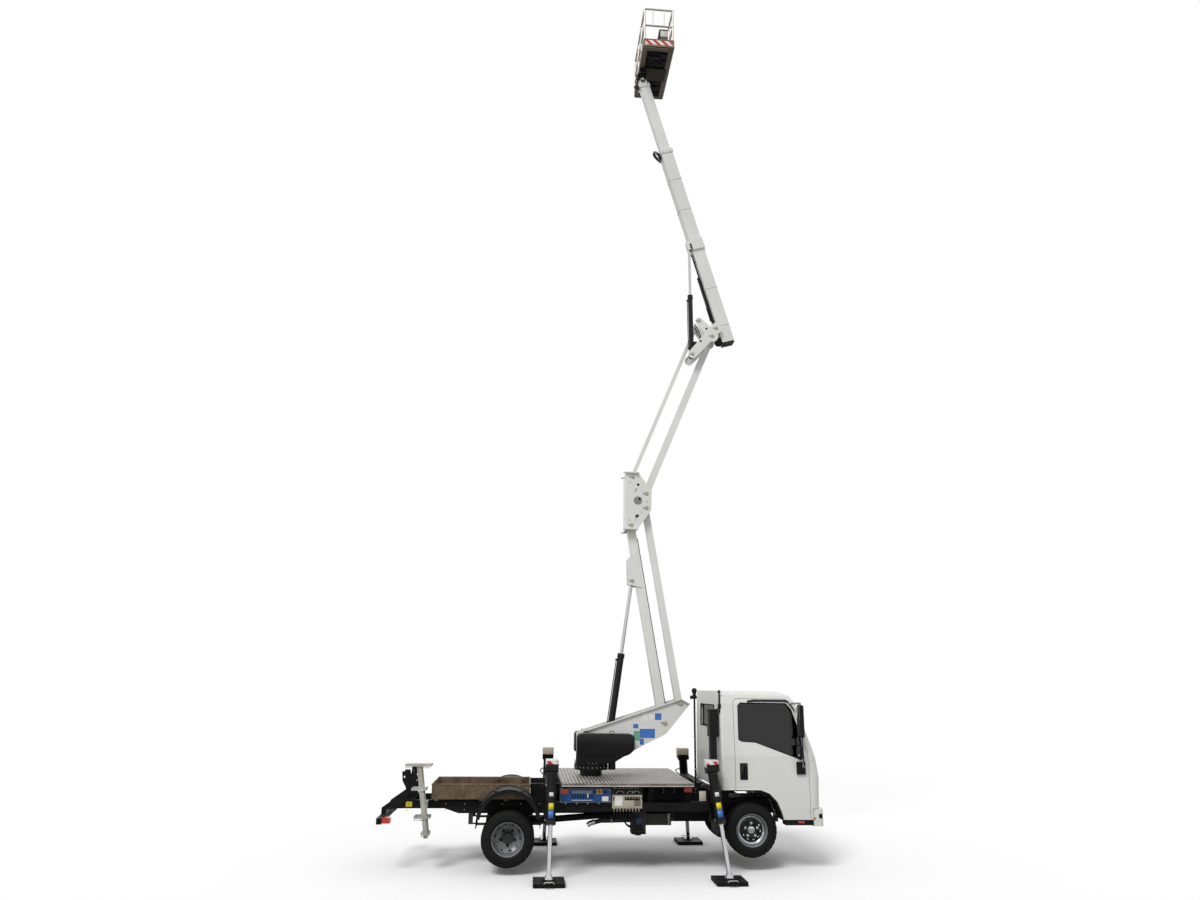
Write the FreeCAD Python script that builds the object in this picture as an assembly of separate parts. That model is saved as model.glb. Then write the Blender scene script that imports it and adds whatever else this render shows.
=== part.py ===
"""Cherry picker truck: a small forward-control truck that carries a slewing turret, a double
parallelogram boom, a three-section telescopic boom and a work basket, standing on four outriggers.

Millimetres. X runs forwards and is measured from the rear axle, Y to the truck's left, Z up from the
ground. save() moves everything so that the origin is the middle of the bounding box's base.
"""
import FreeCAD, Part
import math
import os

V = FreeCAD.Vector

# ---------------------------------------------------------------- driving dimensions
WHEELBASE = 3354.0
DRAWN_WHEELBASE = 3354.0    # cab, turret and booms are drawn for this one
FORWARD = WHEELBASE - DRAWN_WHEELBASE   # and move forward as a whole with a longer one
TAIL_X = -1757.0            # rearmost point, the tail bracket
NOSE_X = 4363.0             # foremost point, the bumper
CENTRE_X = (TAIL_X + NOSE_X + FORWARD) / 2

# wheels: the truck is lifted on its outriggers, so both axles hang off the ground
REAR_AXLE_Z = 452.0
FRONT_AXLE_Z = 536.0
TYRE_R = 357.0
TYRE_W = 205.0
BEAD_R = 205.0
LIP_R = 219.0
RIM_WALL = 6.0
BEAD_HALF = 82.0
LIP_W = 8.0
FRONT_WHEEL_Y = 697.0
REAR_WHEEL_Y = 712.0        # middle of each twin pair
TWIN_HALF = 115.0           # from the middle of a pair to the middle of each tyre
KINGPIN_Y = 590.0
FIT = 0.3                   # running gap at bores, guides and seats

# ladder frame
RAIL_Y = 310.0              # inner face of each rail
RAIL_W = 60.0
RAIL_TOP = 880.0
RAIL_H = 175.0
RAIL_FRONT = WHEELBASE + 796.0
RAIL_REAR = -1560.0

# body floors
DECK_TOP = 1176.0
DECK_T = 16.0
DECK_HALF = 1056.0
DECK_REAR = 696.0
DECK_FRONT = WHEELBASE - 854.0
SKIRT_H = 42.0
BEARER_END = 900.0          # half length of the cross bearers under the deck
PANEL_FACE = 950.0          # front of the control boxes that hang on them
SUB_TOP = 1100.0            # top of the sub-frame beams
TRAY_REAR = -1077.0
TRAY_FRONT = 284.0
TRAY_HALF = 461.0
TRAY_TOP = 1096.0
TRAY_FLOOR = 912.0
SHEET = 12.0

# cab
CAB_BACK = 2930.0
CAB_WALL = 48.0
CAB_FLOOR_LOW = 790.0       # footwell floor
CAB_FLOOR_HIGH = 1130.0     # seat step over the wheels
STEP_X = 3830.0
TUNNEL_HALF = 400.0
TUNNEL_TOP = 925.0
ARCH_TOP = 1070.0
ARCH_BEND_X = 3474.0
ARCH_END_X = 3790.0
CAB_BOTTOM = 684.0
GLASS_T = 6.0
GAP = 6.0                   # shut-line gap round the doors
DOOR_REAR = 3122.0
DOOR_HINGE = (4150.0, 868.0)
HINGE_R = 12.0
HINGE_LONG = 70.0
HINGE_Z = (790.0, 1190.0)

# cab sections: height, front face x, half width, front corner radius
CAB_SECTIONS = [
    (CAB_BOTTOM, 4322.0, 862.0, 130.0),
    (1250.0, 4340.0, 876.0, 135.0),
    (1520.0, 4300.0, 876.0, 140.0),
    (2235.0, 4068.0, 818.0, 140.0),
    (2345.0, 3985.0, 790.0, 140.0),
    (2402.0, 3850.0, 715.0, 140.0),
]
BACK_CORNER_R = 40.0

# outriggers: side-to-side and lengthways place of each leg's top and foot
LEG_TOP_Z = 1430.0
LEG_TOP_Y = 1050.0
FOOT_Z = 100.0
FOOT_Y = 1372.0
FRONT_LEG_X = (WHEELBASE - 616.0, WHEELBASE - 478.0)
REAR_LEG_X = (566.0, 545.0)
LEGS = {                    # name: (top x, foot x, side)
    "rear_right": REAR_LEG_X + (-1,),
    "rear_left": REAR_LEG_X + (1,),
    "front_right": FRONT_LEG_X + (-1,),
    "front_left": FRONT_LEG_X + (1,),
}
JACK_R = 66.0
JACK_BORE = 54.0
JACK_LEN = 765.0
ROD_R = 29.0
ROD_HIDDEN = 170.0          # rod inside its tube as the truck stands
PAD_SIDE = 400.0
PAD_T = 50.0

# turret and booms, in the XZ plane
SLEW_X = 1172.0
SLEW_AT = SLEW_X + FORWARD   # where the turret turns on the frame
PEDESTAL_R = 160.0
PEDESTAL_TOP = 1262.0
SLEW_RING_R = 247.0
SLEW_RING_TOP = 1355.0
ARM_Y = 180.0               # inner face of each turret side plate
ARM_T = 16.0
LOWER_PIN = (2247.0, 1935.0)
LOWER_TIE_OFFSET = (240.0, 280.0)
LOWER_LENGTH = 3016.0
LOWER_ANGLE = 99.6          # from straight ahead
KNUCKLE_RISE = (239.0, 511.0)       # lower boom pin to upper boom pin
UPPER_TIE_OFFSET = (-220.0, 267.0)
UPPER_LENGTH = 2959.0
UPPER_ANGLE = 67.87
LUFF_OFFSET = (70.0, 147.0)         # upper boom pin to telescopic boom pivot
BOOM_ANGLE = 106.0
PLATE_Y = 150.0             # inner face of knuckle and upper link plates
PLATE_T = 15.0
PIN_R = 25.0


def turned(angle, length, start=(0.0, 0.0)):
    """Point at a distance and an angle from a start, in the XZ plane."""
    a = math.radians(angle)
    return (start[0] + length * math.cos(a), start[1] + length * math.sin(a))


def shifted(p, offset):
    return (p[0] + offset[0], p[1] + offset[1])


LOWER_TIE_PIN = shifted(LOWER_PIN, LOWER_TIE_OFFSET)
KNUCKLE_PIN = turned(LOWER_ANGLE, LOWER_LENGTH, LOWER_PIN)
KNUCKLE_TIE_PIN = shifted(KNUCKLE_PIN, LOWER_TIE_OFFSET)
UPPER_PIN = shifted(KNUCKLE_PIN, KNUCKLE_RISE)
UPPER_TIE_PIN = shifted(UPPER_PIN, UPPER_TIE_OFFSET)
LINK_PIN = turned(UPPER_ANGLE, UPPER_LENGTH, UPPER_PIN)
LINK_TIE_PIN = shifted(LINK_PIN, UPPER_TIE_OFFSET)
LUFF_PIN = shifted(LINK_PIN, LUFF_OFFSET)

# bar sections: depth in the boom's plane, then the y range
LOWER_BAR = (130.0, -75.0, 75.0)
LOWER_TIE_BAR = (105.0, -40.0, 40.0)
UPPER_BAR = (112.0, -15.0, 90.0)
UPPER_TIE_BAR = (60.0, 97.0, 143.0)

# telescopic boom: a frame with s along the boom from its heel and n towards its top
BOOM_D = turned(BOOM_ANGLE, 1.0)
BOOM_N = (BOOM_D[1], -BOOM_D[0])
HEEL_BEHIND = 240.0         # heel end behind the luffing pin
UNDERSIDE = 56.0            # from the luffing pin to the boom's underside
BASE_DEPTH, BASE_HALF, BASE_LEN, BASE_WALL = 210.0, 85.0, 3756.0, 8.0
MID_DEPTH, MID_HALF, MID_LEN, MID_WALL = 172.0, 68.0, 3700.0, 7.0
TIP_DEPTH, TIP_HALF, TIP_LEN, TIP_WALL = 140.0, 52.0, 3560.0, 6.0
MID_OUT = 1394.0            # how far the middle section stands out
TIP_PIN_OUT = 90.0          # levelling pin beyond the middle section's end
AXIS_N = UNDERSIDE + BASE_DEPTH / 2

# lift cylinders
LOWER_CYL_FOOT = (1435.0, 1690.0)
LOWER_CYL_EYE = (1770.0, 4048.0)
LOWER_BARREL_LEN = 1260.0
LOWER_BARREL_R, LOWER_BORE_R, LOWER_ROD_R = 50.0, 42.0, 28.0
LOWER_ROD_LEN = 1255.0
UPPER_CYL_FOOT_OFFSET = (-407.0, -483.0)    # from the luffing pin
UPPER_EYE_S, UPPER_EYE_N = 1570.0, 8.0      # along and across the boom, from the luffing pin
UPPER_CYL_Y = -70.0
UPPER_BARREL_LEN = 1104.0
UPPER_BARREL_R, UPPER_BORE_R, UPPER_ROD_R = 40.0, 33.0, 22.0
UPPER_ROD_LEN = 1140.0

# basket
BASKET_BEHIND = 66.0        # basket's rear behind the levelling pin
BASKET_LONG = 546.0
BASKET_HALF = 640.0
BASKET_RISE = 203.0         # underside of the floor above the levelling pin
KICK_H = 158.0
MID_RAIL_H = 453.0          # heights above the floor's underside
TOP_RAIL_H = 798.0
CONSOLE_H = (628.0, 758.0)
FLOOR_T = 22.0
MAT_INSET = 62.0            # raised floor panel, clear of the rail posts
MAT_T = 4.0
RAIL_TUBE_R = 17.0
BASKET_WALL = 4.0


# ---------------------------------------------------------------- shape helpers
def box(x, y, z):
    """Box from three (low, high) ranges."""
    size = [r[1] - r[0] for r in (x, y, z)]
    return Part.makeBox(*size, V(x[0], y[0], z[0]))


def plate(points, y0, y1):
    """Flat outline of (x, z) points, thick from y0 to y1."""
    wire = Part.makePolygon([V(x, y0, z) for x, z in points] + [V(points[0][0], y0, points[0][1])])
    return Part.Face(wire).extrude(V(0, y1 - y0, 0))


def pin(p, r, y0, y1):
    """Round bar across the truck."""
    return Part.makeCylinder(r, y1 - y0, V(p[0], y0, p[1]), V(0, 1, 0))


def round_bar(a, b, r):
    """Round bar between two points in space."""
    a, b = V(*a), V(*b)
    return Part.makeCylinder(r, (b - a).Length, a, b - a)


def strap(p, rp, q, rq, y0, y1):
    """Plate with two round ends of their own radii."""
    dx, dz = q[0] - p[0], q[1] - p[1]
    dist = math.hypot(dx, dz)
    along = math.atan2(dz, dx)
    lean = math.acos((rp - rq) / dist)
    corners = [turned(math.degrees(along + s * lean), r, c)
               for c, r, s in ((p, rp, 1), (q, rq, 1), (q, rq, -1), (p, rp, -1))]
    return join([plate(corners, y0, y1), pin(p, rp, y0, y1), pin(q, rq, y0, y1)])


def beam(p, q, depth, y0, y1, end=0.0):
    """Rectangular bar from p to q, lengthened by end at both ends."""
    dist = math.hypot(q[0] - p[0], q[1] - p[1])
    ux, uz = (q[0] - p[0]) / dist, (q[1] - p[1]) / dist
    h = depth / 2
    a = (p[0] - ux * end, p[1] - uz * end)
    b = (q[0] + ux * end, q[1] + uz * end)
    outline = [(a[0] - uz * h, a[1] + ux * h), (b[0] - uz * h, b[1] + ux * h),
               (b[0] + uz * h, b[1] - ux * h), (a[0] + uz * h, a[1] - ux * h)]
    return plate(outline, y0, y1)


def join(shapes):
    shapes = list(shapes)
    return shapes[0].multiFuse(shapes[1:]).removeSplitter() if len(shapes) > 1 else shapes[0]


def less(shape, cutters):
    return shape.cut(list(cutters))


def mirrored(shape):
    return shape.mirror(V(0, 0, 0), V(0, 1, 0))


def pair(shape):
    """A shape and its mirror image on the other side."""
    return [shape, mirrored(shape)]


def spun(profile, x, y, z, side=1):
    """Ring turned about the wheel axis from (radius, outward) points."""
    points = [V(x + r, y + side * w, z) for r, w in profile]
    face = Part.Face(Part.makePolygon(points + points[:1]))
    return face.revolve(V(x, y, z), V(0, 1, 0), 360)


def forwards(shapes):
    """The shapes moved forward with the front axle."""
    return [shape.translated(V(FORWARD, 0, 0)) for shape in shapes]


def save(name, shapes, with_cab=False):
    solids = [s for shape in (forwards(shapes) if with_cab else shapes) for s in shape.Solids]
    whole = Part.makeCompound(solids) if len(solids) > 1 else solids[0]
    whole = whole.copy()
    whole.translate(V(-CENTRE_X, 0, 0))
    whole.exportStep("parts/" + name + ".step")


os.makedirs("parts", exist_ok=True)


# ---------------------------------------------------------------- ladder frame, sub-frame, jacks
RAIL_OUT = RAIL_Y + RAIL_W
RAIL_BOTTOM = RAIL_TOP - RAIL_H
TAIL_DROP = 110.0           # the rails are shallower behind the rear springs


def frame_rail():
    low = RAIL_BOTTOM
    outline = [(RAIL_REAR, RAIL_TOP), (RAIL_FRONT, RAIL_TOP), (RAIL_FRONT, low), (-700.0, low),
               (-900.0, low + RAIL_H - TAIL_DROP), (RAIL_REAR, low + RAIL_H - TAIL_DROP)]
    return plate(outline, -RAIL_OUT, -RAIL_Y)


def chassis_frame():
    cross = [box((x, x + 70), (-RAIL_Y, RAIL_Y), (RAIL_TOP - 90, RAIL_TOP))
             for x in (RAIL_REAR, -820.0, 300.0, 1250.0, FORWARD + 2150.0, FORWARD + 2850.0)]
    front = box((RAIL_FRONT - 60, RAIL_FRONT), (-RAIL_Y, RAIL_Y), (RAIL_BOTTOM, RAIL_TOP))
    cab_rests = [m for x, top in ((FORWARD + 3050.0, ARCH_TOP), (FORWARD + 3950.0, TUNNEL_TOP))
                 for m in pair(box((x, x + 90), (-RAIL_OUT + 5, -RAIL_Y - 5), (RAIL_TOP, top)))]
    tail = [m for m in pair(plate(
        [(-1430.0, 1014.0), (TAIL_X, 783.0), (TAIL_X, 700.0), (-1690.0, 700.0),
         (-1690.0, 760.0), (RAIL_REAR, RAIL_TOP - TAIL_DROP), (-1400.0, RAIL_TOP)], -RAIL_OUT - 12, -RAIL_OUT))]
    tail_bar = box((TAIL_X, TAIL_X + 65), (-760, 760), (620, 700))
    return join(pair(frame_rail()) + cross + [front] + cab_rests + tail + [tail_bar])


def leg_axis(name):
    """Top and foot of a leg and the direction from foot to top."""
    top_x, foot_x, side = LEGS[name]
    top = V(top_x, side * LEG_TOP_Y, LEG_TOP_Z)
    foot = V(foot_x, side * FOOT_Y, FOOT_Z)
    return top, foot, (top - foot).normalize()


CAP_H = 110.0


def jack_tube(name):
    top, foot, up = leg_axis(name)
    tube = Part.makeCylinder(JACK_R, JACK_LEN, top - up * JACK_LEN, up)
    bore = Part.makeCylinder(JACK_BORE, JACK_LEN, top - up * (JACK_LEN + 20), up)
    collar_at = top - up * (JACK_LEN + 1)
    collar = Part.makeCylinder(JACK_BORE + 2, 40, collar_at, up)
    collar = collar.cut(Part.makeCylinder(ROD_R + FIT, 60, collar_at - up * 10, up))
    cap = box((-85, 85), (-85, 85), (0, CAP_H))
    cap.Placement = FreeCAD.Placement(top - up * (CAP_H - 4), FreeCAD.Rotation(V(0, 0, 1), up))
    return join([tube.cut(bore), collar, cap])


def subframe():
    long_beams = pair(box((TRAY_FRONT + 10, FORWARD + 2840), (-RAIL_OUT, -RAIL_Y), (RAIL_TOP, SUB_TOP)))
    side_beams = pair(box((520, FORWARD + 2740), (-900, -740), (800, 915)))
    bearers = [box((x, x + 70), (-BEARER_END, BEARER_END), (SUB_TOP - 60, DECK_TOP - DECK_T))
               for x in (DECK_REAR, SLEW_AT - 172.0, SLEW_AT + 208.0, FORWARD + 1900.0, DECK_FRONT - 70)]
    drops = [m for x in (DECK_REAR, FORWARD + 1900.0, DECK_FRONT - 70)
             for m in pair(box((x, x + 70), (-800, -740), (915, SUB_TOP - 60)))]
    cross = [box((506, 626), (-1080, 1080), (940, SUB_TOP)),
             box((FORWARD + 2710, FORWARD + 2830), (-1080, 1080), (940, SUB_TOP))]
    hangers = [m for x in (520.0, FORWARD + 2680.0)
               for m in pair(box((x, x + 60), (-900, -740), (800, 1000)))]
    jacks = [jack_tube(name) for name in LEGS]
    solid = join(long_beams + side_beams + bearers + drops + cross + hangers + jacks)
    bores = []
    for name in LEGS:
        top, foot, up = leg_axis(name)
        bores.append(Part.makeCylinder(JACK_BORE, JACK_LEN - 40 - CAP_H, top - up * (JACK_LEN - 39), up))
    pedestal_room = Part.makeCylinder(PEDESTAL_R + 5, 200, V(SLEW_AT, 0, SUB_TOP - 60))
    return less(solid, bores + [pedestal_room])


def leg(name):
    """Sliding rod of one jack, with its guide head and its round foot."""
    top, foot, up = leg_axis(name)
    tube_end = top - up * JACK_LEN
    rod = Part.makeCylinder(ROD_R, (tube_end - foot).Length + ROD_HIDDEN, foot, up)
    head = Part.makeCylinder(JACK_BORE - FIT, 40, tube_end + up * ROD_HIDDEN, up)
    boss = Part.makeCone(62, 40, 62, V(foot.x, foot.y, PAD_T))
    return join([rod, head, boss])


def pad(name):
    top, foot, up = leg_axis(name)
    side = LEGS[name][2]
    h = PAD_SIDE / 2
    block = box((foot.x - h, foot.x + h), (foot.y - h, foot.y + h), (0, PAD_T))
    block = block.makeChamfer(8, [e for e in block.Edges if abs(e.Vertexes[0].Z - e.Vertexes[1].Z) > 1])
    outer = Part.makeTorus(52, 9, V(foot.x, foot.y + side * h, PAD_T / 2))
    loop = outer.common(box((foot.x - 90, foot.x + 90), tuple(sorted((foot.y + side * (h - 4),
                        foot.y + side * (h + 90)))), (0, PAD_T)))
    return join([block, loop])


save("chassis_frame", [chassis_frame()])
save("subframe", [subframe()])
for leg_name in LEGS:
    save("leg_" + leg_name, [leg(leg_name)])
    save("pad_" + leg_name, [pad(leg_name)])


# ---------------------------------------------------------------- deck, tray, tail fittings
def deck():
    top = box((DECK_REAR, DECK_FRONT), (-DECK_HALF, DECK_HALF), (DECK_TOP - DECK_T, DECK_TOP))
    skirts = pair(box((DECK_REAR, DECK_FRONT), (-DECK_HALF, -DECK_HALF + 5), (DECK_TOP - SKIRT_H, DECK_TOP)))
    opening = Part.makeCylinder(PEDESTAL_R + 5, 100, V(SLEW_AT, 0, DECK_TOP - 60))
    return join([top] + skirts).cut(opening)


def tray():
    outer = box((TRAY_REAR, TRAY_FRONT), (-TRAY_HALF, TRAY_HALF), (TRAY_FLOOR - SHEET, TRAY_TOP))
    inner = box((TRAY_REAR + SHEET, TRAY_FRONT - SHEET), (-TRAY_HALF + SHEET, TRAY_HALF - SHEET),
                (TRAY_FLOOR, TRAY_TOP + 1))
    bearers = [box((x, x + 60), (-TRAY_HALF, TRAY_HALF), (RAIL_TOP, TRAY_FLOOR - SHEET))
               for x in (TRAY_REAR + 40, -420.0, TRAY_FRONT - 360)]
    return join([outer.cut(inner)] + bearers)


REST_X = (-1540.0, -1330.0)


def boom_rest():
    """Perforated cradle at the tail that carries the folded boom."""
    posts = []
    for y in (-150.0, 110.0):
        web = box(REST_X, (y, y + 40), (RAIL_TOP, 1235.0))
        holes = [pin((x, z), 30, y - 1, y + 41) for x in (-1480.0, -1390.0) for z in (960.0, 1060.0, 1160.0)]
        posts.append(web.cut(holes))
    saddle = box(REST_X, (-150, 150), (1235, 1262))
    ears = pair(box(REST_X, (-150, -120), (1262, 1310)))
    foot = box(REST_X, (-RAIL_OUT, RAIL_OUT), (RAIL_TOP, RAIL_TOP + 14))
    return join(posts + [saddle, foot] + ears)


STEP_Y = (-690.0, -480.0)


def steps():
    """Folding access steps beside the tail: two stringers and ribbed treads."""
    stringers = [plate([(-1270.0, 1352.0), (-1215.0, 1352.0), (-1070.0, 431.0), (-1125.0, 431.0)], y, y + 12)
                 for y in (STEP_Y[0], STEP_Y[1] - 12)]
    treads = [box((x0, x1), STEP_Y, (z, z + 30)) for x0, x1, z in
              ((-1430.0, -1077.0, 1352.0), (-1330.0, -1130.0, 1040.0), (-1275.0, -1061.0, 680.0),
               (-1170.0, -1060.0, 470.0))]
    mount = [box((-1190, -1120), (STEP_Y[1] - 12, -RAIL_OUT), (z, z + 40)) for z in (790.0, 840.0)]
    return join(stringers + treads + mount)


GUARD_R = 430.0
GUARD_Z = 650.0
GUARD_T = 7.0
GUARD_Y = (-955.0, -505.0)
STAY_Z = 812.0
STAY_X = math.sqrt((GUARD_R - GUARD_T / 2) ** 2 - (STAY_Z - GUARD_Z) ** 2)


def mudguards():
    def arch(radius):
        disc = pin((0.0, GUARD_Z), radius, *GUARD_Y)
        return join([disc.common(box((-radius, radius), GUARD_Y, (GUARD_Z, GUARD_Z + radius))),
                     box((-radius, radius), GUARD_Y, (GUARD_Z - 60, GUARD_Z))])
    shell = arch(GUARD_R).cut(arch(GUARD_R - GUARD_T))
    shell = shell.cut(box((-700, 700), (-2000, 2000), (GUARD_Z - 300, GUARD_Z - 60)))
    stays = [box((x - 15, x + 15), (GUARD_Y[1] - 20, -RAIL_OUT), (STAY_Z - 15, STAY_Z + 15))
             for x in (-STAY_X, STAY_X)]
    return pair(join([shell] + stays))


LAMP_T = 14.0


save("deck", [deck()])
save("tray", [tray()])
save("boom_rest", [boom_rest()])
save("steps", [steps()])
save("mudguards", mudguards())


# ---------------------------------------------------------------- axles, springs, wheels
def leaf_pack(x, z_top, y0, y1, half):
    """Leaf spring: stacked leaves, shortest at the bottom."""
    return [box((x - half * f, x + half * f), (y0, y1), (z_top - 13 * (i + 1), z_top - 13 * i))
            for i, f in enumerate((1.0, 0.82, 0.6, 0.4))]


def rear_axle():
    tube = round_bar((0, -REAR_WHEEL_Y - 60, REAR_AXLE_Z), (0, REAR_WHEEL_Y + 60, REAR_AXLE_Z), 48)
    stub = [round_bar((0, s * (REAR_WHEEL_Y - TWIN_HALF - 105), REAR_AXLE_Z),
                      (0, s * (REAR_WHEEL_Y + 62), REAR_AXLE_Z), 61 - FIT) for s in (-1, 1)]
    diff = Part.makeSphere(165, V(0, 0, REAR_AXLE_Z)).common(
        box((-170, 170), (-130, 130), (REAR_AXLE_Z - 170, REAR_AXLE_Z + 170)))
    return [tube, diff] + stub


SPRING_Y = (-RAIL_OUT + 2, -RAIL_Y - 6)


def axles():
    """Both axles with their leaf springs, seats and hangers."""
    rear_top = REAR_AXLE_Z + 48 + 52 + 22
    rear = rear_axle()
    for part in leaf_pack(0, rear_top, *SPRING_Y, 560):
        rear += pair(part)
    rear += pair(box((-60, 60), SPRING_Y, (REAR_AXLE_Z, rear_top - 52)))
    for x in (-560.0, 500.0):
        rear += pair(box((x, x + 60), SPRING_Y, (rear_top - 13, RAIL_BOTTOM)))
    beam_z = FRONT_AXLE_Z - 40
    front_top = beam_z + 40 + 52 + 12
    front = [box((WHEELBASE - 45, WHEELBASE + 45), (-KINGPIN_Y + 60, KINGPIN_Y - 60), (beam_z - 40, beam_z + 40))]
    front += pair(round_bar((WHEELBASE, -KINGPIN_Y, FRONT_AXLE_Z - 30), (WHEELBASE, -KINGPIN_Y, FRONT_AXLE_Z + 30), 44))
    front += pair(box((WHEELBASE - 40, WHEELBASE + 40), (-KINGPIN_Y, -KINGPIN_Y + 70),
                      (FRONT_AXLE_Z - 30, FRONT_AXLE_Z + 30)))
    for part in leaf_pack(WHEELBASE, front_top, *SPRING_Y, 500):
        front += pair(part)
    front += pair(box((WHEELBASE - 55, WHEELBASE + 55), SPRING_Y, (beam_z, front_top - 52)))
    for x in (WHEELBASE - 500, WHEELBASE + 440):
        front += pair(box((x, x + 60), SPRING_Y, (front_top - 13, RAIL_BOTTOM)))
    eyes = [Part.makeCylinder(20 + FIT, 100, V(WHEELBASE, s * KINGPIN_Y, FRONT_AXLE_Z - 50)) for s in (-1, 1)]
    return [join(rear), join(front).cut(eyes)]


def steering_knuckle(side):
    """Kingpin, two lugs, a flange and the stub axle that the wheel turns on."""
    y = side * KINGPIN_Y
    kingpin = Part.makeCylinder(20, 150, V(WHEELBASE, y, FRONT_AXLE_Z - 75))
    lugs = [box((WHEELBASE - 34, WHEELBASE + 34), tuple(sorted((y - side * 30, y + side * 62))), (z, z + 32))
            for z in (FRONT_AXLE_Z - 66, FRONT_AXLE_Z + 34)]
    flange = box((WHEELBASE - 34, WHEELBASE + 34), tuple(sorted((y + side * 46, y + side * 66))),
                 (FRONT_AXLE_Z - 66, FRONT_AXLE_Z + 66))
    stub = round_bar((WHEELBASE, y + side * 50, FRONT_AXLE_Z), (WHEELBASE, side * (FRONT_WHEEL_Y + 42), FRONT_AXLE_Z), 30)
    return join([kingpin, flange, stub] + lugs)


def tyre(x, y, z):
    half = TYRE_W / 2
    side = [(BEAD_R, BEAD_HALF), (LIP_R + 3, BEAD_HALF), (238.0, half - 6), (290.0, half),
            (330.0, half - 5), (349.0, half - 20), (TYRE_R, half - 42)]
    profile = side + [(r, -w) for r, w in reversed(side)]
    return spun(profile, x, y, z)


def half_barrel(centre, sign):
    """Points along a rim's barrel from its inside out to its lip and back to its seat."""
    inner = BEAD_R - FIT - RIM_WALL
    lip = BEAD_HALF + FIT
    return [(inner, centre + sign * lip), (LIP_R - 6, centre + sign * (lip + LIP_W)),
            (LIP_R, centre + sign * (lip + LIP_W)), (LIP_R, centre + sign * lip),
            (BEAD_R - FIT, centre + sign * lip)]


def front_rim(side):
    inner = BEAD_R - FIT - RIM_WALL
    disc = [(30 + FIT, 20), (30 + FIT, 46), (0, 46), (0, 58), (58, 58), (62, 34), (150, 44), (186, 30), (inner, 40)]
    profile = disc + half_barrel(0, 1) + list(reversed(half_barrel(0, -1))) + [(inner, 20)]
    return spun(profile, WHEELBASE, side * FRONT_WHEEL_Y, FRONT_AXLE_Z, side)


def rear_rim(side):
    """Two rims whose discs meet back to back, as one solid."""
    inner = BEAD_R - FIT - RIM_WALL
    disc = spun([(61, -12), (61, 12), (150, 12), (178, 30), (190, 34), (190, -34), (178, -30), (150, -12)],
                0, side * REAR_WHEEL_Y, REAR_AXLE_Z, side)
    barrels = []
    for c in (TWIN_HALF, -TWIN_HALF):
        ring = [(inner, c - BEAD_HALF - FIT)] + half_barrel(c, 1) + list(reversed(half_barrel(c, -1)))[:-1]
        barrels.append(spun(ring, 0, side * REAR_WHEEL_Y, REAR_AXLE_Z, side))
    bridge = spun([(186, -40), (186, 40), (inner + 2, 40), (inner + 2, -40)], 0, side * REAR_WHEEL_Y, REAR_AXLE_Z, side)
    return join([disc, bridge] + barrels)


save("axles", axles())
for side_name, s in (("right", -1), ("left", 1)):
    save("steering_knuckle_" + side_name, [steering_knuckle(s)])
    save("tyre_front_" + side_name, [tyre(WHEELBASE, s * FRONT_WHEEL_Y, FRONT_AXLE_Z)])
    save("rim_front_" + side_name, [front_rim(s)])
    save("tyres_rear_" + side_name, [tyre(0, s * REAR_WHEEL_Y + o, REAR_AXLE_Z) for o in (-TWIN_HALF, TWIN_HALF)])
    save("rims_rear_" + side_name, [rear_rim(s)])


# ---------------------------------------------------------------- power train, boxes, exhaust
def powertrain():
    engine = box((3060, 3700), (-230, 230), (640, 900))
    sump = box((3150, 3250), (-150, 150), (600, 640))
    gearbox = box((2380, 3060), (-150, 150), (560, 780))
    shaft = round_bar((172, 0, 540), (FORWARD + 2380, 0, 700), 45)
    transfer = box((1940, 2180), (-130, 130), (565, 780))
    pump = box((1690, 1886), (-700, -500), (477, 833))
    pump_hanger = box((1720, 1860), (-740, -RAIL_OUT), (800, 833))
    exhaust = [round_bar((1300, -560, 640), (2300, -560, 660), 36), box((1800, 2250), (-640, -480), (585, 735)),
               round_bar((1170, -600, 618), (1302, -560, 640), 30)]
    hanger = box((1960, 2000), (-560, -RAIL_OUT), (700, 735))
    stay = [box((x, x + 60), (-RAIL_Y, RAIL_Y), (750, 790)) for x in (2050.0, 2500.0)]
    mounts = [box((x, x + 60), (-RAIL_Y, RAIL_Y), (760, 800)) for x in (3200.0, 3560.0)]
    return [join(forwards([engine, sump, gearbox, transfer] + stay + mounts) + [shaft]),
            join([pump, pump_hanger]), join(exhaust + [hanger])]


def control_boxes():
    """Ground control panel and valve box on the right, tank and battery box on the left."""
    panel = box((684, 1372), (-PANEL_FACE, -BEARER_END), (923, 1100))
    valve = box((1393, 1800), (-PANEL_FACE, -BEARER_END), (846, 1100))
    tank = box((1500, 2300), (740, 960), (480, 800))
    battery = box((720, 1250), (740, 960), (560, 800))
    return [panel, valve, tank, battery]


save("powertrain", powertrain())
save("control_boxes", control_boxes())


# ---------------------------------------------------------------- cab
def cab_section(z, front, half, corner, inset=0.0):
    """Rounded outline of the cab at one height."""
    x0, x1, h = CAB_BACK + inset, front - inset, half - inset
    rf, rb = max(corner - inset, 20.0), max(BACK_CORNER_R - inset / 2, 10.0)
    k = math.sqrt(0.5)

    edges = []
    # go round anticlockwise: front left, back left, back right, front right
    walk = [(V(x1, h - rf, z), V(x1 - rf + k * rf, h - rf + k * rf, z), V(x1 - rf, h, z)),
            (V(x0 + rb, h, z), V(x0 + rb - k * rb, h - rb + k * rb, z), V(x0, h - rb, z)),
            (V(x0, -h + rb, z), V(x0 + rb - k * rb, -h + rb - k * rb, z), V(x0 + rb, -h, z)),
            (V(x1 - rf, -h, z), V(x1 - rf + k * rf, -h + rf - k * rf, z), V(x1, -h + rf, z))]
    for i, (a, m, b) in enumerate(walk):
        edges.append(Part.Arc(a, m, b).toShape())
        edges.append(Part.LineSegment(b, walk[(i + 1) % 4][0]).toShape())
    return Part.Wire(edges)


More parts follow.
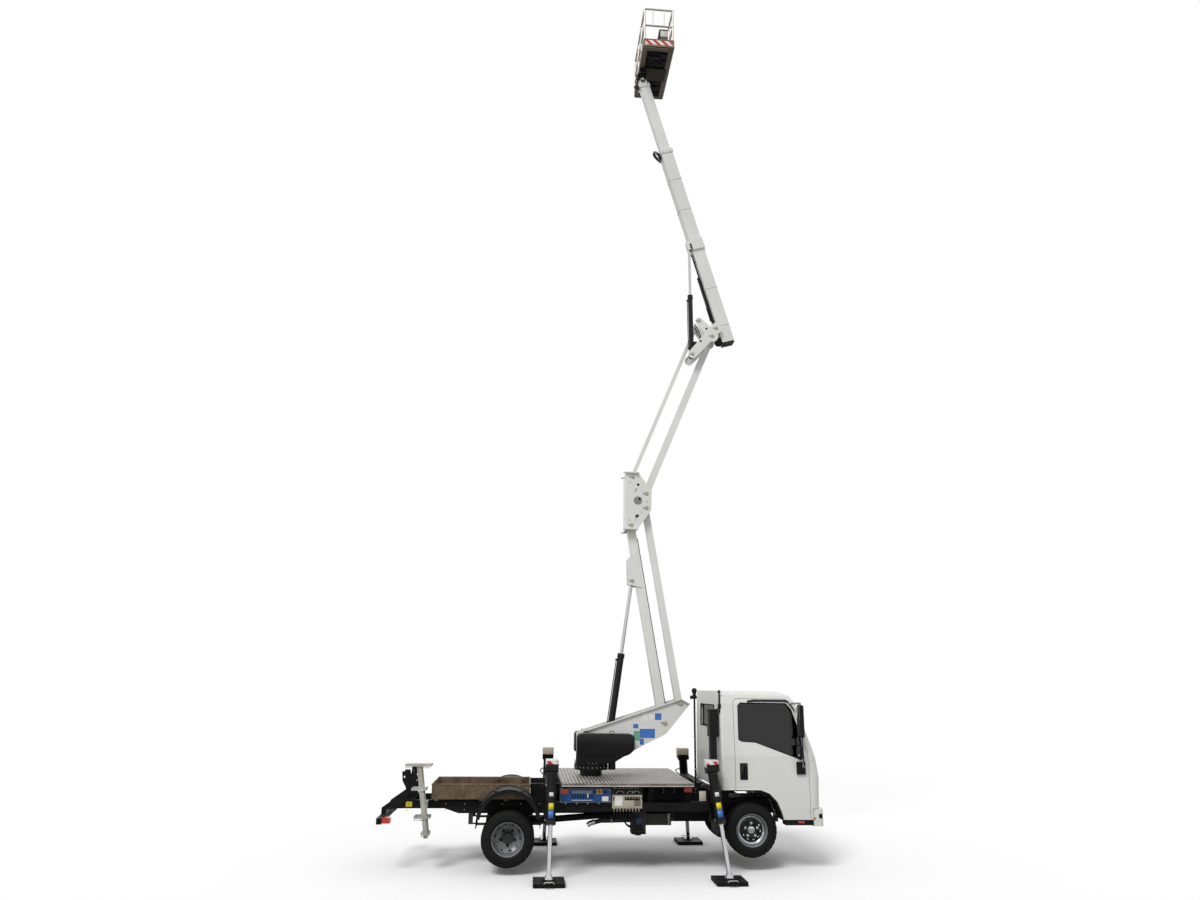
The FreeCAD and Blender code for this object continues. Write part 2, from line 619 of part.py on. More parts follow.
def cab_body(inset=0.0):
    """Outer or inner skin of the cab as a closed solid."""
    sections = [list(s) for s in CAB_SECTIONS]
    sections[0][0] += inset
    sections[-1][0] -= inset
    return Part.makeLoft([cab_section(*s, inset=inset) for s in sections], True, True)


WHEELHOUSE = [(CAB_BACK - 100, ARCH_TOP), (ARCH_BEND_X, ARCH_TOP), (3600.0, 1020.0), (3700.0, 920.0),
              (3760.0, 790.0), (ARCH_END_X, CAB_BOTTOM), (ARCH_END_X, CAB_BOTTOM - 100),
              (CAB_BACK - 100, CAB_BOTTOM - 100)]
DOOR_OUTLINE = [(DOOR_REAR, 600.0), (4172.0, 600.0), (4165.0, 1440.0), (4095.0, 1840.0), (3985.0, 2180.0),
                (3945.0, 2262.0), (3880.0, 2296.0), (DOOR_REAR + 40, 2296.0), (DOOR_REAR, 2256.0)]
WINDOW = [(3183.0, 1745.0), (3190.0, 2205.0), (3225.0, 2240.0), (3885.0, 2238.0), (3960.0, 2150.0),
          (4065.0, 1830.0), (4095.0, 1500.0), (4060.0, 1480.0), (3420.0, 1710.0), (3225.0, 1722.0)]
INSIDE_Y = 640.0            # doors are everything of the shell outside this


def grown(points, by):
    """An outline grown outwards by a distance."""
    face = Part.Face(Part.makePolygon([V(x, 0, z) for x, z in points + points[:1]]))
    wire = face.makeOffset2D(by, 2).OuterWire
    return [(v.Point.x, v.Point.z) for v in wire.OrderedVertexes]


WHEELHOUSE_ROOM = plate(WHEELHOUSE, -1000, 1000)
WINDSCREEN = [(-700.0, 1560.0), (700.0, 1560.0), (640.0, 2190.0), (-640.0, 2190.0)]
BACK_WINDOW = [(-470.0, 1890.0), (470.0, 1890.0), (450.0, 2200.0), (-450.0, 2200.0)]


def pane(points, x0, x1):
    """Outline of (y, z) points, thick along the truck."""
    wire = Part.makePolygon([V(x0, y, z) for y, z in points + points[:1]])
    return Part.Face(wire).extrude(V(x1 - x0, 0, 0))


def cab_cavity():
    skin = cab_body(CAB_WALL)
    toe = BUMPER_BACK - 10 - CAB_WALL
    low = [box((STEP_X, toe), (TUNNEL_HALF + 50, 900), (CAB_FLOOR_LOW, 2500)),
           box((STEP_X, toe), (-900, -TUNNEL_HALF - 50), (CAB_FLOOR_LOW, 2500)),
           box((toe - 1, 4400), (-900, 900), (BUMPER_TOP + 50, 2500)),
           box((STEP_X, 4400), (-TUNNEL_HALF - 60, TUNNEL_HALF + 60), (TUNNEL_TOP + 50, 2500)),
           box((2900, 4400), (-900, 900), (CAB_FLOOR_HIGH, 2500))]
    return skin.common(join(low))


LAMP_BOX = ((4150.0, 4400.0), (-800.0, -540.0), (850.0, 1040.0))
BUMPER_BACK = 4215.0
BUMPER_TOP = 822.0
LAMP_DEPTH = 24.0


def lamp_pocket(gap=0.0):
    """Front-skin pieces that the headlamps fill, one each side."""
    x, y, z = [(lo - gap, hi + gap) for lo, hi in LAMP_BOX]
    return join(pair(box(x, y, z))).common(cab_body()).cut(cab_body(LAMP_DEPTH + gap))


def lamps():
    tail = pair(box((TAIL_X + 65, TAIL_X + 65 + 110), (-745, -630), (630, 700)))
    markers = [box((x, x + 108), tuple(sorted((seat, seat + math.copysign(LAMP_T, seat)))), (z, z + 60))
               for x, z, seat in ((690.0, 1032.0, -PANEL_FACE), (690.0, 1032.0, BEARER_END),
                                  (DECK_FRONT - 112, 1050.0, -BEARER_END), (DECK_FRONT - 112, 1050.0, BEARER_END))]
    return tail + markers + forwards([lamp_pocket()])


def cab_parts():
    outer = cab_body().cut([WHEELHOUSE_ROOM, lamp_pocket(0.5),
                            box((2800, 4260), (-TUNNEL_HALF, TUNNEL_HALF), (600, TUNNEL_TOP)),
                            box((BUMPER_BACK - 10, 4500), (-1000, 1000), (600, BUMPER_TOP + 6))])
    cavity = cab_cavity()
    shell = outer.cut(cavity)
    zone = join(pair(plate(DOOR_OUTLINE, -1000, -INSIDE_Y)))
    opening = join(pair(plate(grown(DOOR_OUTLINE, GAP), -1000, -INSIDE_Y)))
    arch_room = plate(grown(WHEELHOUSE, 1.0), -1000, 1000)
    inner_limit = cab_body(CAB_WALL)
    sill_half = CAB_SECTIONS[0][2] - CAB_WALL
    sill_top = CAB_BOTTOM + CAB_WALL + 2
    doors = shell.common(zone).cut([inner_limit, arch_room,
                                    box((2800, 4400), (-sill_half, sill_half), (600, sill_top))])
    window = join(pair(plate(WINDOW, -1000, -INSIDE_Y)))
    doors = doors.cut(window)
    doors = join([doors] + [Part.makeCylinder(HINGE_R, HINGE_LONG, V(DOOR_HINGE[0], side * DOOR_HINGE[1], z))
                            for side in (-1, 1) for z in HINGE_Z])
    floor_keep = inner_limit.common(shell)
    sill_keep = shell.common(box((DOOR_REAR - 20, 4190), (GAP - sill_half, sill_half - GAP), (600, sill_top)))
    swing, notch = [join([Part.makeCylinder(r, z1 - z0, V(DOOR_HINGE[0], side * DOOR_HINGE[1], z0)) for side in (-1, 1)])
                    for r, z0, z1 in ((64.0, 600.0, 1450.0), (14.0, 1460.0, 1600.0))]
    body = join([shell.cut([opening, notch]), floor_keep.cut(swing), sill_keep.cut(swing)])
    screen = pane(WINDSCREEN, 3900, 4400)
    back = pane(BACK_WINDOW, 2900, 3000)
    body = body.cut([screen, back])
    mid = cab_body(CAB_WALL / 2 - GLASS_T / 2).cut(cab_body(CAB_WALL / 2 + GLASS_T / 2))
    door_glass = mid.common(window)
    glass = mid.common(join([screen, back]))
    return body, doors, door_glass, glass


def by_side(shape, side):
    half = box((2000, 5000), (0, 1500) if side > 0 else (-1500, 0), (0, 3000))
    return shape.common(half)


def bumper():
    bar = box((BUMPER_BACK, NOSE_X), (-850, 850), (596, BUMPER_TOP))
    bar = bar.makeFillet(60, [e for e in bar.Edges if abs(e.Vertexes[0].Z - e.Vertexes[1].Z) > 100
                              and e.Vertexes[0].X > 4300])
    bar = bar.cut(box((4100, 4300), (-760, 760), (500, 790)))
    irons = pair(box((RAIL_FRONT - 200, 4310), (-RAIL_Y - 45, -RAIL_Y - 10), (RAIL_BOTTOM - 70, RAIL_BOTTOM)))
    return join([bar] + irons)


def cab_trim():
    """Dark sill steps under the doors, guards behind the front wheels and the grille."""
    sills = [join([box((3815, 4205), tuple(sorted((s * 855, s * 700))), (612, CAB_BOTTOM - GAP)),
                   box((3815, 4205), tuple(sorted((s * 795, s * 700))), (CAB_BOTTOM - 2 * GAP, CAB_BOTTOM))])
             for s in (-1, 1)]
    guards = pair(box((2862, 2872), (-860, -420), (480, 1060)))
    guard_arms = pair(box((2840, 2862), (-860, -RAIL_OUT), (800, 860)))
    return sills + [join([g, a]) for g, a in zip(guards, guard_arms)]


def cab_interior():
    seats = []
    for y in (-430.0, 430.0):
        base = box((3170, 3640), (y - 230, y + 230), (CAB_FLOOR_HIGH, 1290))
        back = plate([(3050.0, 1290.0), (3190.0, 1290.0), (3120.0, 1880.0), (3010.0, 1880.0)], y - 220, y + 220)
        rest = plate([(3015.0, 1890.0), (3100.0, 1890.0), (3090.0, 2040.0), (3020.0, 2040.0)], y - 120, y + 120)
        neck = box((3035, 3075), (y - 60, y + 60), (1870, 1900))
        seats.append(join([base, back, rest, neck]))
    dash = plate([(3990.0, 1180.0), (4245.0, 1180.0), (4235.0, 1470.0), (4040.0, 1500.0), (3960.0, 1400.0)], -760, 760)
    leg_post = box((4060, 4200), (-120, 120), (TUNNEL_TOP + 50, 1180))
    column = round_bar((4020, 430, 1330), (3880, 430, 1505), 28)
    wheel = Part.makeTorus(205, 15, V(3880, 430, 1505), V(-130, 0, 160))
    spoke = round_bar((3880 - 150, 430, 1505 - 122), (3880 + 150, 430, 1505 + 122), 14)
    cross = round_bar((3880, 430 - 200, 1505), (3880, 430 + 200, 1505), 14)
    return seats + [join([dash, leg_post, column, wheel, spoke, cross])]


def mirror_set(side):
    """Two mirror heads on a bowed arm that stands off the door's front edge."""
    y = side * 985.0
    head = box((4010, 4075), (y - 75, y + 75), (1780, 2225))
    head = head.makeFillet(25, head.Edges)
    small = box((3985, 4050), (y - 70, y + 70), (1520, 1680))
    small = small.makeFillet(22, small.Edges)
    pole = round_bar((4060, y, 1400), (4045, y, 2250), 11)
    lower = round_bar((4060, y, 1405), (4080, side * 893, 1370), 14)
    upper = round_bar((4045, y, 2245), (3925, side * 830, 2240), 14)
    foot = box((3990, 4110), tuple(sorted((side * 876.5, side * 905))), (1285, 1450))
    return join([head, small, pole, lower, upper, foot])


def door_handle(side):
    return box((3183, 3294), tuple(sorted((side * 860, side * 884))), (1208, 1430))


body, doors, door_panes, panes = cab_parts()
save("cab_shell", [body], with_cab=True)
save("lamps", lamps())
save("cab_glass", [panes], with_cab=True)
save("front_bumper", [bumper()], with_cab=True)
save("cab_trim", cab_trim(), with_cab=True)
save("cab_interior", cab_interior(), with_cab=True)
for side_name, s in (("right", -1), ("left", 1)):
    save("door_" + side_name, [by_side(doors, s)], with_cab=True)
    save("door_glass_" + side_name, [by_side(door_panes, s)], with_cab=True)
    save("mirror_" + side_name, [mirror_set(s)], with_cab=True)


def intake_stack():
    """Air intake and lamp posts behind the cab."""
    pipe = box((2800, 2890), (-760, -650), (SUB_TOP + 20, 1790))
    head = box((2790, 2912), (-780, -600), (1775, 2148))
    foot = box((2735, 2900), (-790, -600), (SUB_TOP, SUB_TOP + 25))
    post = round_bar((2662, -350, SUB_TOP), (2662, -350, 2400), 14)
    knob = Part.makeSphere(40, V(2662, -350, 2400))
    bracket = box((2630, 2760), (-380, -RAIL_Y), (SUB_TOP, SUB_TOP + 16))
    return [join([pipe, head, foot]), join([post, knob, bracket])]


save("intake_stack", intake_stack(), with_cab=True)


# ---------------------------------------------------------------- turret
def slew_base():
    return join([Part.makeCylinder(PEDESTAL_R, PEDESTAL_TOP - SUB_TOP + 60, V(SLEW_X, 0, SUB_TOP - 60)),
                 box((SLEW_X - 230, SLEW_X + 230), (-RAIL_Y, RAIL_Y), (SUB_TOP - 110, SUB_TOP - 60))])


ARM_TOP_LINE = [(956.0, 1772.0), (1045.0, 1812.0), (2487.0, 2283.0), (2622.0, 2211.0)]
TURRET_OUTLINE = ARM_TOP_LINE + [(2594.0, 2165.0), (2262.0, 1775.0), (1833.0, 1566.0), (1500.0, 1372.0),
                                 (960.0, 1372.0)]
LIP_T = 16.0
LIP_REACH = 34.0


def turret_arm():
    sides = pair(plate(TURRET_OUTLINE, -ARM_Y - ARM_T, -ARM_Y))
    ring = Part.makeCylinder(SLEW_RING_R, SLEW_RING_TOP - PEDESTAL_TOP - FIT, V(SLEW_X, 0, PEDESTAL_TOP + FIT))
    floor = box((940, 1500), (-ARM_Y - ARM_T, ARM_Y + ARM_T), (SLEW_RING_TOP, 1380))
    lips = pair(plate(ARM_TOP_LINE + [(x, z - LIP_T) for x, z in reversed(ARM_TOP_LINE)],
                      -ARM_Y - ARM_T - LIP_REACH, -ARM_Y))
    belly = plate([(1500.0, 1372.0), (1833.0, 1566.0), (2262.0, 1775.0), (2248.0, 1796.0), (1822.0, 1590.0),
                   (1480.0, 1390.0)], -ARM_Y, ARM_Y)
    motor = Part.makeCylinder(55, 130, V(1475, -60, 1262))
    pins = [pin(p, PIN_R, -ARM_Y - ARM_T - end, ARM_Y + ARM_T + end)
            for p, end in ((LOWER_PIN, 8), (LOWER_TIE_PIN, 8), (LOWER_CYL_FOOT, 0))]
    return join(sides + lips + [ring, floor, belly, motor] + pins)


COVER_X = (934.0, 1768.0)


def turret_covers():
    y0, y1 = -ARM_Y - ARM_T - 235, -ARM_Y - ARM_T
    shape = plate([(COVER_X[0], 1480.0), (1625.0, 1468.0), (COVER_X[1], 1560.0), (COVER_X[1], 1765.0),
                   (1690.0, 1790.0), (COVER_X[0] + 30, 1785.0), (COVER_X[0], 1755.0)], y0, y1)
    lip_room = plate([(x, z + 30) for x, z in ARM_TOP_LINE] + [(x, z - LIP_T - GAP) for x, z in reversed(ARM_TOP_LINE)],
                     -ARM_Y - ARM_T - LIP_REACH - GAP, -ARM_Y)
    return pair(shape.cut(lip_room))


save("slew_base", [slew_base()], with_cab=True)
save("turret_arm", [turret_arm()], with_cab=True)
save("turret_covers", turret_covers(), with_cab=True)


# ---------------------------------------------------------------- parallelogram booms
def bored(shape, pins_at, y=400.0, r=PIN_R + FIT):
    return shape.cut([pin(p, r, -y, y) for p in pins_at])


def boom_bar(p, q, section, ends):
    depth, y0, y1 = section
    return join([beam(p, q, depth, y0, y1)] + [pin(c, r, y0, y1) for c, r in zip((p, q), ends)])


EAR_T = 14.0
EAR_IN = 46.0


def lower_boom():
    bar = boom_bar(LOWER_PIN, KNUCKLE_PIN, LOWER_BAR, (72.0, 72.0))
    lug = [shifted(LOWER_CYL_EYE, o) for o in ((-66.0, -60.0), (-78.0, 330.0), (60.0, 480.0), (150.0, -110.0))]
    ears = pair(plate(lug, -LOWER_BAR[2] - EAR_T, -LOWER_BAR[2]))
    stubs = pair(pin(LOWER_CYL_EYE, 22, -LOWER_BAR[2] - EAR_T - 6, -EAR_IN))
    return bored(join([bar] + ears + stubs), (LOWER_PIN, KNUCKLE_PIN))


def lower_tie():
    return bored(boom_bar(LOWER_TIE_PIN, KNUCKLE_TIE_PIN, LOWER_TIE_BAR, (55.0, 55.0)),
                 (LOWER_TIE_PIN, KNUCKLE_TIE_PIN), r=PIN_R + FIT)


KNUCKLE_OUTLINE = [(-92.0, -72.0), (102.0, -62.0), (312.0, 243.0), (322.0, 552.0), (110.0, 848.0), (-92.0, 848.0)]


def knuckle_link():
    outline = [shifted(KNUCKLE_PIN, o) for o in KNUCKLE_OUTLINE]
    sides = pair(plate(outline, -PLATE_Y - PLATE_T, -PLATE_Y))
    x, z = KNUCKLE_PIN
    sight = [pin(shifted(KNUCKLE_PIN, o), r, -PLATE_Y - PLATE_T - 1, -PLATE_Y + 1)
             for o, r in (((76.0, 565.0), 24.0), ((102.0, 394.0), 68.0), ((82.0, 136.0), 28.0))]
    sides[0] = sides[0].cut(sight)
    back = box((x - 92, x - 80), (-PLATE_Y - PLATE_T, PLATE_Y + PLATE_T), (z - 72, z + 848))
    lips = [m for dz, x0, x1 in ((848.0 - 14, -130.0, 118.0), (-72.0 - 4, -130.0, 104.0))
            for m in pair(box((x + x0, x + x1), (-PLATE_Y - 52, -PLATE_Y), (z + dz, z + dz + 16)))]
    reach = PLATE_Y + PLATE_T + 6
    pins = [pin(p, PIN_R, -reach, reach) for p in (KNUCKLE_PIN, KNUCKLE_TIE_PIN, UPPER_PIN, UPPER_TIE_PIN)]
    return join(sides + [back] + lips + pins)


def upper_boom():
    bar = boom_bar(UPPER_PIN, LINK_PIN, UPPER_BAR, (62.0, 56.0))
    return bored(bar, (UPPER_PIN, LINK_PIN))


def upper_tie():
    bar = boom_bar(UPPER_TIE_PIN, LINK_TIE_PIN, UPPER_TIE_BAR, (38.0, 38.0))
    return bored(bar, (UPPER_TIE_PIN, LINK_TIE_PIN))


UPPER_CYL_FOOT = shifted(LUFF_PIN, UPPER_CYL_FOOT_OFFSET)


def upper_link():
    """Y-shaped pair of cast plates that stays upright and carries the telescopic boom."""
    sides = []
    for y0, y1 in ((-PLATE_Y - PLATE_T, -PLATE_Y), (PLATE_Y, PLATE_Y + PLATE_T)):
        sides += [strap(UPPER_CYL_FOOT, 72.0, LUFF_PIN, 92.0, y0, y1),
                  strap(LINK_TIE_PIN, 58.0, LINK_PIN, 100.0, y0, y1)]
    reach = PLATE_Y + PLATE_T + 6
    across = [pin(p, PIN_R, -reach, reach) for p in (LINK_PIN, LUFF_PIN)]
    tie_stub = pin(LINK_TIE_PIN, PIN_R, UPPER_TIE_BAR[1] - 5, reach)
    foot_stub = pin(UPPER_CYL_FOOT, PIN_R, -reach, UPPER_CYL_Y + 42)
    return join(sides + across + [tie_stub, foot_stub])


save("lower_boom", [lower_boom()], with_cab=True)
save("lower_tie", [lower_tie()], with_cab=True)
save("knuckle_link", [knuckle_link()], with_cab=True)
save("upper_boom", [upper_boom()], with_cab=True)
save("upper_tie", [upper_tie()], with_cab=True)
save("upper_link", [upper_link()], with_cab=True)


# ---------------------------------------------------------------- telescopic boom
def on_boom(s, n):
    """Point at s along the boom from the luffing pin and n above that pin's line."""
    return (LUFF_PIN[0] + s * BOOM_D[0] + n * BOOM_N[0], LUFF_PIN[1] + s * BOOM_D[1] + n * BOOM_N[1])


def boom_box(s0, s1, n0, n1, y0, y1):
    return plate([on_boom(s0, n0), on_boom(s1, n0), on_boom(s1, n1), on_boom(s0, n1)], y0, y1)


def section(s0, s1, depth, half):
    return boom_box(s0, s1, AXIS_N - depth / 2, AXIS_N + depth / 2, -half, half)


BASE_S0 = -HEEL_BEHIND
BASE_S1 = BASE_S0 + BASE_LEN
MID_S1 = BASE_S1 + MID_OUT
MID_S0 = MID_S1 - MID_LEN
TIP_S1 = MID_S1 + TIP_PIN_OUT + 45
TIP_S0 = TIP_S1 - TIP_LEN
LEVEL_PIN = on_boom(MID_S1 + TIP_PIN_OUT, AXIS_N)
UPPER_CYL_EYE = on_boom(UPPER_EYE_S, UPPER_EYE_N)
COLLAR = 60.0
REEL_N, REEL_R = 5.0, 68.0      # hose reel under the heel, beside the upper boom's end
REEL_Y = (-80.0, -30.0)
HEEL_CAP = 34.0


def boom_base():
    tube = section(BASE_S0, BASE_S1, BASE_DEPTH, BASE_HALF)
    inside = section(BASE_S0 + 12, BASE_S1 + 1, BASE_DEPTH - 2 * BASE_WALL, BASE_HALF - BASE_WALL)
    collar = section(BASE_S1 - COLLAR, BASE_S1 + 6, BASE_DEPTH + 24, BASE_HALF + 12)
    guide = section(BASE_S1 - 2 * COLLAR, BASE_S1 + 20, MID_DEPTH + 2 * FIT, MID_HALF + FIT)
    lug = [strap(LUFF_PIN, 62.0, on_boom(60, UNDERSIDE + 20), 80.0, -BASE_HALF, BASE_HALF)]
    reel = pin(on_boom(BASE_S0 + 30, REEL_N), REEL_R, *REEL_Y)
    heel = boom_box(BASE_S0 - HEEL_CAP, BASE_S0 + 12, UNDERSIDE + 6, UNDERSIDE + BASE_DEPTH - 6,
                    -BASE_HALF + 6, BASE_HALF - 6)
    band = boom_box(UPPER_EYE_S - 60, UPPER_EYE_S + 150, UNDERSIDE - 10, UNDERSIDE + BASE_DEPTH + 10,
                    UPPER_CYL_Y - 42, BASE_HALF + 5)
    ears = [boom_box(UPPER_EYE_S - 50, UPPER_EYE_S + 110, UPPER_EYE_N - 34, UNDERSIDE, y, y + 12)
            for y in (UPPER_CYL_Y - 42, UPPER_CYL_Y + 30)]
    stubs = [pin(UPPER_CYL_EYE, 18, UPPER_CYL_Y - 46, UPPER_CYL_Y - 27), pin(UPPER_CYL_EYE, 18, UPPER_CYL_Y + 27, UPPER_CYL_Y + 42)]
    shell = join([tube, collar, band, reel, heel] + lug)
    ring = section(BASE_S1 - COLLAR, BASE_S1 + 6, BASE_DEPTH - BASE_WALL, BASE_HALF - BASE_WALL / 2)
    shell = join([shell.cut(inside), ring] + ears + stubs).cut(guide)
    return bored(shell, (LUFF_PIN,))


def boom_mid():
    tube = section(MID_S0, MID_S1, MID_DEPTH, MID_HALF)
    inside = section(MID_S0 - 1, MID_S1 + 1, MID_DEPTH - 2 * MID_WALL, MID_HALF - MID_WALL)
    shoe = section(MID_S0, MID_S0 + COLLAR, BASE_DEPTH - 2 * BASE_WALL - 2 * FIT, BASE_HALF - BASE_WALL - FIT)
    collar = section(MID_S1 - COLLAR, MID_S1 + 4, MID_DEPTH + 22, MID_HALF + 10)
    ring = section(MID_S1 - COLLAR, MID_S1 + 4, MID_DEPTH - MID_WALL, MID_HALF - MID_WALL / 2)
    guide = section(MID_S1 - 2 * COLLAR, MID_S1 + 20, TIP_DEPTH + 2 * FIT, TIP_HALF + FIT)
    return join([join([tube, shoe, collar]).cut(inside), ring]).cut(guide)


def boom_tip():
    bar = section(TIP_S0, TIP_S1 - 45, TIP_DEPTH, TIP_HALF)
    inside = section(TIP_S0 - 1, MID_S1 - 60, TIP_DEPTH - 2 * TIP_WALL, TIP_HALF - TIP_WALL)
    shoe = section(TIP_S0, TIP_S0 + COLLAR, MID_DEPTH - 2 * MID_WALL - 2 * FIT, MID_HALF - MID_WALL - FIT)
    nose = strap(on_boom(MID_S1 + 30, AXIS_N), TIP_DEPTH / 2, LEVEL_PIN, 45.0, -TIP_HALF, TIP_HALF)
    return bored(join([bar, shoe, nose]).cut(inside), (LEVEL_PIN,))


save("boom_base", [boom_base()], with_cab=True)
save("boom_mid", [boom_mid()], with_cab=True)
save("boom_tip", [boom_tip()], with_cab=True)


# ---------------------------------------------------------------- lift cylinders
def barrel(foot, eye, length, r, bore, rod_r, y, eye_half):
    d = V(eye[0] - foot[0], 0, eye[1] - foot[1]).normalize()
    base = V(foot[0], y, foot[1])
    tube = Part.makeCylinder(r, length - 60, base + d * 60, d)
    hollow = Part.makeCylinder(bore, length - 80 - 40, base + d * 80, d)
    gland = Part.makeCylinder(rod_r + FIT, 80, base + d * (length - 50), d)
    knob = Part.makeCylinder(44, 2 * eye_half, V(foot[0], y - eye_half, foot[1]), V(0, 1, 0))
    web = beam(foot, (foot[0] + d.x * 70, foot[1] + d.z * 70), 66, y - eye_half, y + eye_half)
    solid = join([tube, knob, web]).cut([hollow, gland])
    return solid.cut(pin(foot, PIN_R + FIT, y - 100, y + 100))


def rod(foot, eye, length, r, bore, y, eye_half, pin_r):
    d = V(eye[0] - foot[0], 0, eye[1] - foot[1]).normalize()
    top = V(eye[0], y, eye[1])
    bar = Part.makeCylinder(r, length - 20, top - d * length, d)
    piston = Part.makeCylinder(bore - FIT, 30, top - d * length, d)
    knob = Part.makeCylinder(pin_r + 16, 2 * eye_half, V(eye[0], y - eye_half, eye[1]), V(0, 1, 0))
    return join([bar, piston, knob]).cut(pin(eye, pin_r + FIT, y - 100, y + 100))


LOWER_CYL = (LOWER_CYL_FOOT, LOWER_CYL_EYE)
UPPER_CYL = (UPPER_CYL_FOOT, UPPER_CYL_EYE)
lower_barrel = barrel(*LOWER_CYL, LOWER_BARREL_LEN, LOWER_BARREL_R, LOWER_BORE_R, LOWER_ROD_R, 0.0, 45.0)
lower_rod = rod(*LOWER_CYL, LOWER_ROD_LEN, LOWER_ROD_R, LOWER_BORE_R, 0.0, 40.0, 22.0)
upper_barrel = barrel(*UPPER_CYL, UPPER_BARREL_LEN, UPPER_BARREL_R, UPPER_BORE_R, UPPER_ROD_R, UPPER_CYL_Y, 36.0)
upper_rod = rod(*UPPER_CYL, UPPER_ROD_LEN, UPPER_ROD_R, UPPER_BORE_R, UPPER_CYL_Y, 24.0, 18.0)
for cylinder, parts in (("lower_cylinder", (lower_barrel, lower_rod)), ("upper_cylinder", (upper_barrel, upper_rod))):
    save(cylinder + "_barrel", parts[:1], with_cab=True)
    save(cylinder + "_rod", parts[1:], with_cab=True)


# ---------------------------------------------------------------- basket
ROTATE_X = LEVEL_PIN[0]
BRACKET_TOP = LEVEL_PIN[1] + 131.5
BASKET_REAR = LEVEL_PIN[0] - BASKET_BEHIND
BASKET_FRONT = BASKET_REAR + BASKET_LONG
BASKET_FLOOR = LEVEL_PIN[1] + BASKET_RISE
KICK_TOP = BASKET_FLOOR + KICK_H
MID_RAIL_Z = BASKET_FLOOR + MID_RAIL_H
TOP_RAIL_Z = BASKET_FLOOR + TOP_RAIL_H


def basket_bracket():
    """Levelling fork at the boom's tip, with the rotating head's fixed half."""
    x, z = LEVEL_PIN
    ears = pair(join([plate([(x - 40, z), (x + 40, z), (x + 40, BRACKET_TOP), (x - 40, BRACKET_TOP)],
                            -TIP_HALF - 20, -TIP_HALF - 6), pin(LEVEL_PIN, 40, -TIP_HALF - 20, -TIP_HALF - 6)]))
    top = box((x - 60, x + 60), (-TIP_HALF - 20, TIP_HALF + 20), (BRACKET_TOP - 14, BRACKET_TOP))
    head = Part.makeCylinder(62, 40, V(x, 0, BRACKET_TOP - 2))
    shaft = pin(LEVEL_PIN, PIN_R, -TIP_HALF - 26, TIP_HALF + 26)
    return join(ears + [top, head, shaft])


def basket_tub():
    """Aluminium floor, kick plates and the dark carrying frame under it."""
    r, f, h = BASKET_REAR, BASKET_FRONT, BASKET_HALF
    outer = box((r, f), (-h, h), (BASKET_FLOOR, KICK_TOP))
    outer = outer.makeChamfer(12, [e for e in outer.Edges if abs(e.Vertexes[0].Z - e.Vertexes[1].Z) > 100])
    inner = box((r + BASKET_WALL, f - BASKET_WALL), (-h + BASKET_WALL, h - BASKET_WALL),
                (BASKET_FLOOR + FLOOR_T, KICK_TOP + 1))
    inner = inner.makeChamfer(10, [e for e in inner.Edges if abs(e.Vertexes[0].Z - e.Vertexes[1].Z) > 100])
    carrier = box((ROTATE_X - 65, f - 60), (-150, 150), (BRACKET_TOP + 38 + FIT, BASKET_FLOOR))
    k = MAT_INSET
    mat = box((r + k, f - k), (-h + k, h - k), (BASKET_FLOOR + FLOOR_T, BASKET_FLOOR + FLOOR_T + MAT_T))
    return join([outer.cut(inner), carrier, mat])


def rail_ring(z, inset, r=RAIL_TUBE_R):
    """Closed tube ring with square corners rounded by balls."""
    x0, x1, h = BASKET_REAR + inset, BASKET_FRONT - inset, BASKET_HALF - inset
    corners = [(x0, -h, z), (x1, -h, z), (x1, h, z), (x0, h, z)]
    tubes = [round_bar(a, b, r) for a, b in zip(corners, corners[1:] + corners[:1])]
    return tubes + [Part.makeSphere(r, V(*c)) for c in corners]


def basket_rails():
    inset = RAIL_TUBE_R + BASKET_WALL + 2
    x0, x1, h = BASKET_REAR + inset, BASKET_FRONT - inset, BASKET_HALF - inset
    post_y = (-h, -h / 3, h / 3, h)
    posts = [round_bar((x, y, BASKET_FLOOR + FLOOR_T), (x, y, TOP_RAIL_Z), RAIL_TUBE_R) for x in (x0, x1) for y in post_y]
    console = box((x1 - 150, x1 + 10), (-h / 3, h / 3), (BASKET_FLOOR + CONSOLE_H[0], BASKET_FLOOR + CONSOLE_H[1]))
    return join(rail_ring(TOP_RAIL_Z, inset) + rail_ring(MID_RAIL_Z, inset) + posts + [console])


save("basket_bracket", [basket_bracket()], with_cab=True)
save("basket_tub", [basket_tub()], with_cab=True)
save("basket_rails", [basket_rails()], with_cab=True)
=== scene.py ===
# %% [markdown]
# # Cherry picker truck
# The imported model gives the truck's frame: every CAD node is already in its place and rides on its
# body. This lesson dresses it. Pieces whose solid is right keep it and get a finish, plain ones are
# replaced by a closer model, and small fittings are added. Places are written in millimetres, as on
# a chassis drawing: x forward from the rear axle, y to the truck's left, z up from the ground.

# %% Frame and helpers
import math

import bmesh
import bpy
from mathutils import Matrix, Vector


